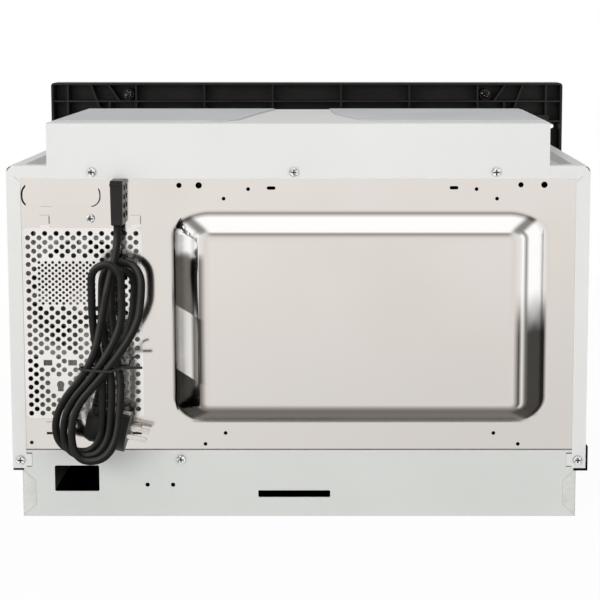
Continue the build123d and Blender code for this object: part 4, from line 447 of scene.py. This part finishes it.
dress(moulding("black_abs", "22201F", "2A2827", 0.4, gloss=0.2), "front_frame")
black_nylon = moulding("black_nylon", "1C1B1A", "222120", 0.3, gloss=0.25)
dress(moulding("plug_pvc", "1B1A19", "21201F", 0.42, gloss=0.2), "plug_body")
dress(moulding("tie_coating", "1E1D1C", "262524", 0.32, gloss=0.35), "twist_tie")
dress(moulding("button_abs", "1C1D1E", "222324", 0.48), "door_open_button",
      *[f"push_button_{number}" for number in range(1, 7)])
dress(moulding("choke_polypropylene", "1B1B1B", "212121", 0.55), "choke_cover")
dress(moulding("door_abs", "18191A", "1E1F20", 0.45), "door_frame")
dress(moulding("natural_acetal", "E4E0D4", "ECE8DD", 0.4), "latch_hooks", "door_open_lever")
dress(moulding("inner_polypropylene", "DFDDD6", "E6E4DE", 0.5), "fan_housing", "air_guide",
      "interlock_bracket", "turntable_coupler", "roller_ring", "roller_1", "roller_2", "roller_3")
dress(moulding("grey_fan", "BFBFBA", "C7C7C2", 0.5), "fan_rotor")
dress(moulding("switch_phenolic", "191919", "202020", 0.5), "interlock_switches", "knob_encoder",
      "thermal_cutouts")
print("plastics dressed, with one kept for the cord block:", black_nylon.name)

# %% [markdown]
# ## Cord sheath
# The sheath is black PVC, pressed out round the cores. It is smooth but not glossy, so each turn shows a
# soft light band along it, which is what lets the eye follow one turn under the next. In a white room a
# round black cord mirrors white all over and turns grey, so its gloss is kept low and the band is painted:
# the sheath's colour rises a little on the side that faces up and back and sinks on the side away from it.

# %% Cord finish
sheath, tree, shader = new_material("cord_sheath_pvc", Roughness=0.5, Specular_IOR_Level=0.1)
place = add(tree, "ShaderNodeTexCoord")
# Painted sheen and shade: the sheath's colour rises where its surface faces up and back, wavered by a noise.
up_and_back = (0.45, 0.66, 0.6)
toward_lamp = add(tree, "ShaderNodeVectorMath", {0: place.outputs["Normal"], 1: up_and_back},
                  operation="DOT_PRODUCT")
sheen_wobble = add(tree, "ShaderNodeTexNoise", {
    "Vector": place.outputs["Object"], "Scale": patches(9), "Detail": 3.0})
sheen_wobble = add(tree, MATH, {0: sheen_wobble.outputs["Fac"], 1: 0.16}, operation="MULTIPLY")
lit = add(tree, MATH, {0: toward_lamp, 1: sheen_wobble}, operation="ADD")
painted_sheen = add(tree, RAMP, {"Fac": lit},
                  [(0.0, "0F0F0E"), (0.62, "191918"), (0.86, "262524"), (1.0, "454442")])
tree.links.new(painted_sheen.outputs["Color"], shader.inputs["Base Color"])
grain(tree, shader, place.outputs["Object"], patches(1.1), 0.03, 0.35)
cord_curve.materials.append(sheath)
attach(mains_cord, "case")
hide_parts("power_cord", "cord_hank")

# %% [markdown]
# ## Metals of the chassis
# Inside and at the fixings there are plain working metals: zinc-plated screws, galvanised sheet, thin
# aluminium fins, varnished iron, enamelled copper. Each gets its own tone and a grain of its own size.

# %% Metals
def metal(name, first, second, roughness, patch_mm=12, grain_mm=0.6, depth=0.02, stretch=(1, 1, 1)):
    """A metal with two close tones in patches and a fine relief."""
    material, tree, shader = new_material(name, Metallic=1.0, Roughness=roughness)
    place = mottle(tree, shader, first, second, patches(patch_mm), stretch=stretch)
    grain(tree, shader, place, patches(grain_mm), depth, 0.35)
    return material


dress(metal("galvanised_sheet", "A9ACAE", "BDC0C1", 0.38, patch_mm=9), "base_plate", "waveguide", "magnetron",
      "hinge_brackets", "capacitor_clamp")
dress(metal("stamped_aluminium", "CFCFD0", "DADADB", 0.3), "magnetron_fins", "capacitor")
dress(metal("spring_steel", "9A9B9C", "ABACAD", 0.25), "latch_spring")
dress(metal("nickel_plate", "CDCBC6", "DBD9D5", 0.16, patch_mm=6), "plug_pins")
dress(metal("varnished_iron", "4A4644", "5A5552", 0.5, stretch=(1, 1, 12)), "transformer_core", "fan_motor",
      "turntable_motor")
dress(metal("enamelled_copper", "A5623C", "BD7749", 0.35, stretch=(1, 1, 20)), "transformer_windings")
dress(metal("turned_aluminium", "B9BABB", "C9CACB", 0.3, patch_mm=4), "control_knob")
print("metals dressed")

# %% [markdown]
# ## Screws
# The rear screws are zinc-plated pan heads, bright on the dome and dark in the crossed recess and round
# the foot, where the plating mirrors only the recess itself. The two that hold the frame are blackened.
# A bright world would fill both with white, so the dark of the recess and the foot is painted shade: the tone
# follows how far a point stands out of its plane. Specks of painted glint lie on the plated domes and, now
# and then, on the blackened heads.

# %% Screw finish
duct_foot, duct_stand = 329.0, 1.6
flange_inner, flange_top, flange_stand = 255.0, 100.0, 0.8
screw_finish, tree, shader = new_material("plated_screws", Metallic=1.0, Roughness=0.2)
place = add(tree, "ShaderNodeTexCoord").outputs["Object"]
axes = add(tree, "ShaderNodeSeparateXYZ", {"Vector": place})
x_mm, y_mm, z_mm = [add(tree, MATH, {0: axes.outputs[axis], 1: 1000.0}, operation="MULTIPLY")
                    for axis in "XYZ"]
on_duct = add(tree, STEP, {"Value": z_mm, "From Min": duct_foot, "From Max": duct_foot + 0.5}, **soft)
on_duct = add(tree, MATH, {0: on_duct, 1: duct_stand}, operation="MULTIPLY")
far_out = add(tree, MATH, {0: x_mm}, operation="ABSOLUTE")
far_out = add(tree, STEP, {"Value": far_out, "From Min": flange_inner, "From Max": flange_inner + 1}, **soft)
low_down = add(tree, STEP, {"Value": z_mm, "From Min": flange_top, "From Max": flange_top - 1}, **soft)
on_flange = add(tree, MATH, {0: far_out, 1: low_down}, operation="MULTIPLY")
on_flange = add(tree, MATH, {0: on_flange, 1: flange_stand}, operation="MULTIPLY")
plane = add(tree, MATH, {0: on_duct, 1: on_flange}, operation="ADD")
stand = add(tree, MATH, {0: y_mm, 1: panel_face}, operation="SUBTRACT")
stand = add(tree, MATH, {0: stand, 1: plane}, operation="SUBTRACT")
# Painted glints: the noise speckles the plated domes from grey to white and puts a pale fleck here and there
# on the blackened heads.
speck = add(tree, "ShaderNodeTexNoise", {"Vector": place, "Scale": patches(1.6), "Detail": 1.0})
speck = speck.outputs["Fac"]
dome = add(tree, RAMP, {"Fac": speck}, [(0.38, "8F9496"), (0.5, "EDEFEF"), (0.7, "FFFFFF")])
blackened = add(tree, RAMP, {"Fac": speck}, [(0.35, "1E1D1C"), (0.62, "2E2D2B"), (0.66, "D8D6D2")])
# Painted shade: darker where the head stands less than 1.5 mm out of its plane, in the recess and round the
# foot.
painted_recess_shade = add(tree, STEP, {"Value": stand, "From Min": 1.5, "From Max": 0.9}, **soft)
plated = add(tree, MIX, {"Factor": painted_recess_shade, 6: dome, 7: "3A3E40"}, data_type="RGBA")
in_front = add(tree, STEP, {"Value": y_mm, "From Min": 0.0, "From Max": -1.0}, **soft)
screw_tone = add(tree, MIX, {"Factor": in_front, 6: plated, 7: blackened}, data_type="RGBA")
tree.links.new(screw_tone.outputs[2], shader.inputs["Base Color"])
grain(tree, shader, place, patches(2.0), 0.05, 0.4)
dress(screw_finish, "case_screws")
print("screws dressed")

# %% [markdown]
# ## Enamel, boards, mica and glass
# The oven's inside is grey enamel, smooth and a little speckled. The boards are green laminate, the wave
# guide's window is mica, and the door and the tray are glass: one smoked, one clear.

# %% The rest of the finishes
enamel, tree, shader = new_material("grey_enamel", Roughness=0.3, Specular_IOR_Level=0.5)
mottle(tree, shader, "B4B4AE", "C4C4BE", patches(1.6), 0.42, 0.6)
dress(enamel, "cavity_liner")
laminate, tree, shader = new_material("green_laminate", Roughness=0.45)
mottle(tree, shader, "1F5A34", "2A6E40", patches(4))
dress(laminate, "control_board", "filter_board")
mica, tree, shader = new_material("mica_sheet", Roughness=0.4)
mottle(tree, shader, "B9AC90", "CDBF9F", patches(5), stretch=(1, 1, 3))
dress(mica, "waveguide_cover")
pan_enamel, tree, shader = new_material("black_enamel", Roughness=0.35)
mottle(tree, shader, "17181A", "1E1F21", patches(8))
dress(pan_enamel, "door_inner_panel")
gloss_black, tree, shader = new_material("gloss_black_fascia", Roughness=0.08, Specular_IOR_Level=0.5)
mottle(tree, shader, "0D0E10", "131416", patches(60))
dress(gloss_black, "control_panel")
smoked, tree, shader = new_material("smoked_window", Roughness=0.06, Specular_IOR_Level=0.5)
mottle(tree, shader, "0A0D0E", "101415", patches(40))
dress(smoked, "display_window")


def glass(name, colour, roughness, density):
    """Sheet glass: clear to light, with its tint on the shader's own sockets."""
    material, tree, shader = new_material(name, Base_Color=linear(colour), Roughness=roughness, IOR=1.5,
                                          Transmission_Weight=density)
    place = add(tree, "ShaderNodeTexCoord").outputs["Object"]
    grain(tree, shader, place, patches(40), 0.02, 0.2)
    return material


dress(glass("smoked_glass", "1A1C1E", 0.03, 0.35), "door_glass")
dress(glass("clear_sheet", "E8EEEC", 0.03, 0.9), "door_inner_window")
dress(glass("tray_glass", "DDE9E5", 0.04, 0.9), "glass_tray")
dress(glass("lamp_glass", "F4EFE2", 0.1, 0.8), "cavity_lamp")
print("every node has a finish:", all(node.data.materials for node in nodes.values()))

# %% [markdown]
# ## The block that holds the cord
# The cord comes out of a black nylon block under the duct, moulded in one with its strain relief: square
# at the top, drawn in towards the cord, with soft edges, a raised bar across the top and small ratchet
# teeth down one side. A cube that is scaled, tapered at its foot and bevelled gives the block.

# %% Helpers for pieces
def piece_from(form, name, material):
    """Makes a finished piece of a bmesh, which rides on the case and has one material."""
    bmesh.ops.recalc_face_normals(form, faces=form.faces)
    mesh = bpy.data.meshes.new(name)
    form.to_mesh(mesh)
    form.free()
    mesh.materials.append(material)
    piece = bpy.data.objects.new(name, mesh)
    scene.collection.objects.link(piece)
    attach(piece, "case")
    return piece


def rounded_box(form, low, high, edge):
    """Adds a box between two corners in millimetres, with all its edges rounded."""
    made = bmesh.ops.create_cube(form, size=1.0)["verts"]
    size = [top - foot for foot, top in zip(low, high)]
    bmesh.ops.scale(form, verts=made, vec=[value * MM for value in size])
    middle = [(top + foot) / 2 * MM for foot, top in zip(low, high)]
    bmesh.ops.translate(form, verts=made, vec=middle)
    edges = list({line for vertex in made for line in vertex.link_edges})
    bmesh.ops.bevel(form, geom=edges, offset=edge * MM, segments=3, affect="EDGES", profile=0.5,
                    material=-1, clamp_overlap=True)


scene = bpy.context.scene
block_low, block_high = [Vector(corner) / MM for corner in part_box("cord_anchor")]
print("cord block from", [round(value, 1) for value in block_low],
      "to", [round(value, 1) for value in block_high])

# %% Cord block
form = bmesh.new()
made = bmesh.ops.create_cube(form, size=1.0)["verts"]
middle = (block_high + block_low) / 2 * MM
bmesh.ops.scale(form, verts=made, vec=(block_high - block_low) * MM)
bmesh.ops.translate(form, verts=made, vec=middle)
foot = [vertex for vertex in form.verts if vertex.co.z < middle.z]
bmesh.ops.scale(form, verts=foot, vec=(0.9, 1.0, 1.0), space=Matrix.Translation(-middle))
rear_face = [vertex for vertex in form.verts if vertex.co.y > middle.y]
bmesh.ops.scale(form, verts=rear_face, vec=(0.96, 1.0, 0.985), space=Matrix.Translation(-middle))
bmesh.ops.bevel(form, geom=form.edges[:], offset=1.3 * MM, segments=3, affect="EDGES", profile=0.5,
                material=-1, clamp_overlap=True)
bar_z = block_high.z - 4.2
rounded_box(form, (middle.x / MM - 6.2, block_high.y - 1.0, bar_z - 1.6),
            (middle.x / MM + 6.2, block_high.y + 0.9, bar_z + 1.6), 0.8)
teeth, first_tooth, tooth_pitch = 4, 8, 8.5
for number in range(teeth):
    tooth_z = block_high.z - first_tooth - number * tooth_pitch
    rounded_box(form, (block_low.x - 0.7, block_low.y + 4.0, tooth_z - 2.4),
                (block_low.x + 2.0, block_low.y + 9.0, tooth_z + 2.4), 0.8)
cord_block = piece_from(form, "cord_block", black_nylon)
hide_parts("cord_anchor")
print("cord block with", teeth, "teeth")

# %% [markdown]
# ## Folded flanges and edge strips
# Three small things give the sheet metal away as folded: the plinth's corners, where a mitred flange is
# turned in and spot welded, the foot of each side flange, which sits on a strip of black foam that also
# paints the shade of the seam there, and the two thin lids that overlap on the roof of the duct, in a
# darker coat that paints the roof's shade. Each is an outline that is extruded, or a rounded box.

# %% Plinth corner flanges
def corner_flange(side):
    """A mitred flange, a little proud of the plinth's rear face, with its two weld dots."""
    corners = [(264.2, 45.6), (252.6, 35.2), (252.6, 12.0), (264.2, 1.2)]
    form = bmesh.new()
    ring = [form.verts.new((side * x * MM, 195.25 * MM, z * MM)) for x, z in corners]
    face = form.faces.new(ring)
    raised = bmesh.ops.extrude_face_region(form, geom=[face])["geom"]
    top = [item for item in raised if isinstance(item, bmesh.types.BMVert)]
    bmesh.ops.translate(form, verts=top, vec=(0, 0.75 * MM, 0))
    bmesh.ops.bevel(form, geom=form.edges[:], offset=0.3 * MM, segments=2, affect="EDGES", profile=0.5,
                    material=-1)
    for x, z in ((257.2, 32.4), (254.9, 15.8)):
        dot = bmesh.ops.create_uvsphere(form, u_segments=16, v_segments=8, radius=1.0 * MM)["verts"]
        bmesh.ops.scale(form, verts=dot, vec=(1, 0.35, 1.2))
        bmesh.ops.translate(form, verts=dot, vec=(side * x * MM, 196.0 * MM, z * MM))
    return piece_from(form, "plinth_flange_" + ("left" if side > 0 else "right"), flange_coat)


flange_coat, tree, shader = new_material("thin_powder_coat", Roughness=0.5, Specular_IOR_Level=0.4)
place = mottle(tree, shader, "CFD0CB", "DCDDD8", patches(7), 0.3, 0.7)
grain(tree, shader, place, patches(3), 0.15, 0.5)
plinth_flanges = [corner_flange(side) for side in (1, -1)]
print(len(plinth_flanges), "plinth flanges")

# %% Foam edge strips with painted seam shade
# The strips are black foam and also painted shade: they darken the seam at the foot of each side flange.
foam_seam_shade, tree, shader = new_material("black_foam", Roughness=0.9, Specular_IOR_Level=0.1)
place = mottle(tree, shader, "0B0B0B", "151514", patches(2))
grain(tree, shader, place, patches(0.8), 0.2, 0.6)
form = bmesh.new()
rounded_box(form, (263.6, 190.0, 45.6), (273.6, 196.4, 47.5), 0.4)
piece_from(form, "foam_strip_left", foam_seam_shade)
form = bmesh.new()
rounded_box(form, (-276.0, 188.0, 45.0), (-262.6, 196.4, 47.5), 0.4)
rounded_box(form, (-276.0, 188.0, 45.0), (-274.1, 196.4, 69.0), 0.4)
piece_from(form, "foam_strip_right", foam_seam_shade)
print("two foam strips")

# %% Overlapping lids of the duct
def lid_sheet(name, outline):
    """A thin lid that lies on the duct, from its outline seen from above, in millimetres."""
    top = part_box("top_air_duct")[1][2] / MM
    form = bmesh.new()
    ring = [form.verts.new((x * MM, y * MM, (top + 0.05) * MM)) for x, y in outline]
    face = form.faces.new(ring)
    raised = bmesh.ops.extrude_face_region(form, geom=[face])["geom"]
    bmesh.ops.translate(form, verts=[item for item in raised if isinstance(item, bmesh.types.BMVert)],
                        vec=(0, 0, 1.1 * MM))
    return piece_from(form, name, shaded_lid_coat)


# The lids' coat is greyer and bluer than the white coat: painted shade of the duct's roof.
shaded_lid_coat, tree, shader = new_material("matt_coat_with_painted_shade", Roughness=0.6, Specular_IOR_Level=0.3)
place = mottle(tree, shader, "CBCDCF", "D3D5D6", patches(90))
grain(tree, shader, place, patches(2.4), 0.05, 0.25)
lid_sheet("duct_lid_left", [(31.5, -32), (42.5, 32.6), (52.9, 109.6), (58, 150), (66, 168), (80, 176),
                            (232, 176), (232, -40), (32, -40)])
lid_sheet("duct_lid_right", [(-27, -40), (-32.5, 38), (-38.5, 78), (-47.8, 116), (-57.7, 150), (-75, 165),
                             (-232, 168), (-232, -40)])

# %% [markdown]
# ## Bench and light
# The oven stands on a pale bench in a white room. The light is soft and comes from everywhere, a little
# more of it from behind the camera. What the camera sees directly, or by way of steel and glass, is plain
# white, and the bench keeps the object's shadow. Inside the plinth a dark sheet paints the shade that falls
# there, as under any appliance.

# %% World
scene.view_settings.view_transform = "Standard"
world = bpy.data.worlds.new("studio")
scene.world = world
world.use_nodes = True
tree = world.node_tree
tree.nodes.clear()
lighting = add(tree, "ShaderNodeBackground", {"Color": "FFFFFF", "Strength": 0.47})
seen = add(tree, "ShaderNodeBackground", {"Color": "FFFFFF", "Strength": 1.0})


def shown_rays(tree):
    """One for a ray from the camera, or one mirrored or let through, and zero for scattered light."""
    rays = add(tree, "ShaderNodeLightPath")
    seen_or_mirrored = add(tree, MATH, {0: rays.outputs["Is Camera Ray"],
                                        1: rays.outputs["Is Glossy Ray"]}, operation="MAXIMUM")
    return add(tree, MATH, {0: seen_or_mirrored, 1: rays.outputs["Is Transmission Ray"]},
               operation="MAXIMUM")


all_rays = add(tree, "ShaderNodeMixShader", {0: shown_rays(tree), 1: lighting, 2: seen})
add(tree, "ShaderNodeOutputWorld", {"Surface": all_rays})
print("world lit")

# %% Bench
def ground(name, low, high, level, colour, glows):
    """A flat stage sheet. One that glows is seen and mirrored as white, and keeps the object's shadow."""
    form = bmesh.new()
    bmesh.ops.create_grid(form, x_segments=1, y_segments=1, size=0.5)
    bmesh.ops.scale(form, verts=form.verts, vec=(high[0] - low[0], high[1] - low[1], 1))
    bmesh.ops.translate(form, verts=form.verts, vec=((high[0] + low[0]) / 2, (high[1] + low[1]) / 2, level))
    mesh = bpy.data.meshes.new(name)
    form.to_mesh(mesh)
    form.free()
    sheet = bpy.data.objects.new(name, mesh)
    scene.collection.objects.link(sheet)
    material = bpy.data.materials.new(name)
    material.use_nodes = True
    tree = material.node_tree
    tree.nodes.clear()
    matt = add(tree, "ShaderNodeBsdfDiffuse", {"Color": colour})
    surface = matt
    if glows:
        glow = add(tree, "ShaderNodeEmission", {"Color": "FFFFFF", "Strength": 1.0})
        bright = add(tree, "ShaderNodeMixShader", {0: 0.96, 1: matt, 2: glow})
        surface = add(tree, "ShaderNodeMixShader", {0: shown_rays(tree), 1: matt, 2: bright})
    add(tree, "ShaderNodeOutputMaterial", {"Surface": surface})
    mesh.materials.append(material)


ground("bench", (-1.3, -1.3), (1.3, 2.4), -0.0004, "F4F4F2", True)
# A dark sheet under the plinth paints the shade inside it.
ground("painted_shade_under_the_plinth", (-0.262, -0.158), (0.262, 0.19), -0.0001, "1A1A1A", False)
print("bench and the dark sheet under the plinth laid")

# %% Lamps
def softbox(name, place, aim, size, power):
    """A square area lamp that points from its place to its aim."""
    lamp = bpy.data.lights.new(name, "AREA")
    lamp.shape = "RECTANGLE"
    lamp.size, lamp.size_y = size
    lamp.energy = power
    holder = bpy.data.objects.new(name, lamp)
    holder.location = place
    holder.rotation_euler = (Vector(aim) - Vector(place)).to_track_quat("-Z", "Y").to_euler()
    holder.visible_glossy = False
    scene.collection.objects.link(holder)


softbox("key_light", (0.9, 2.0, 0.75), (0, 0.1, 0.2), (1.2, 0.8), 15.5)
softbox("fill_light", (-1.1, 2.0, 0.55), (0, 0.1, 0.2), (1.2, 0.8), 10)
softbox("front_light", (0.5, -1.9, 0.9), (0, 0, 0.2), (1.2, 1.0), 14)
print("three lamps hung")

# %% Finish
bpy.context.view_layer.update()
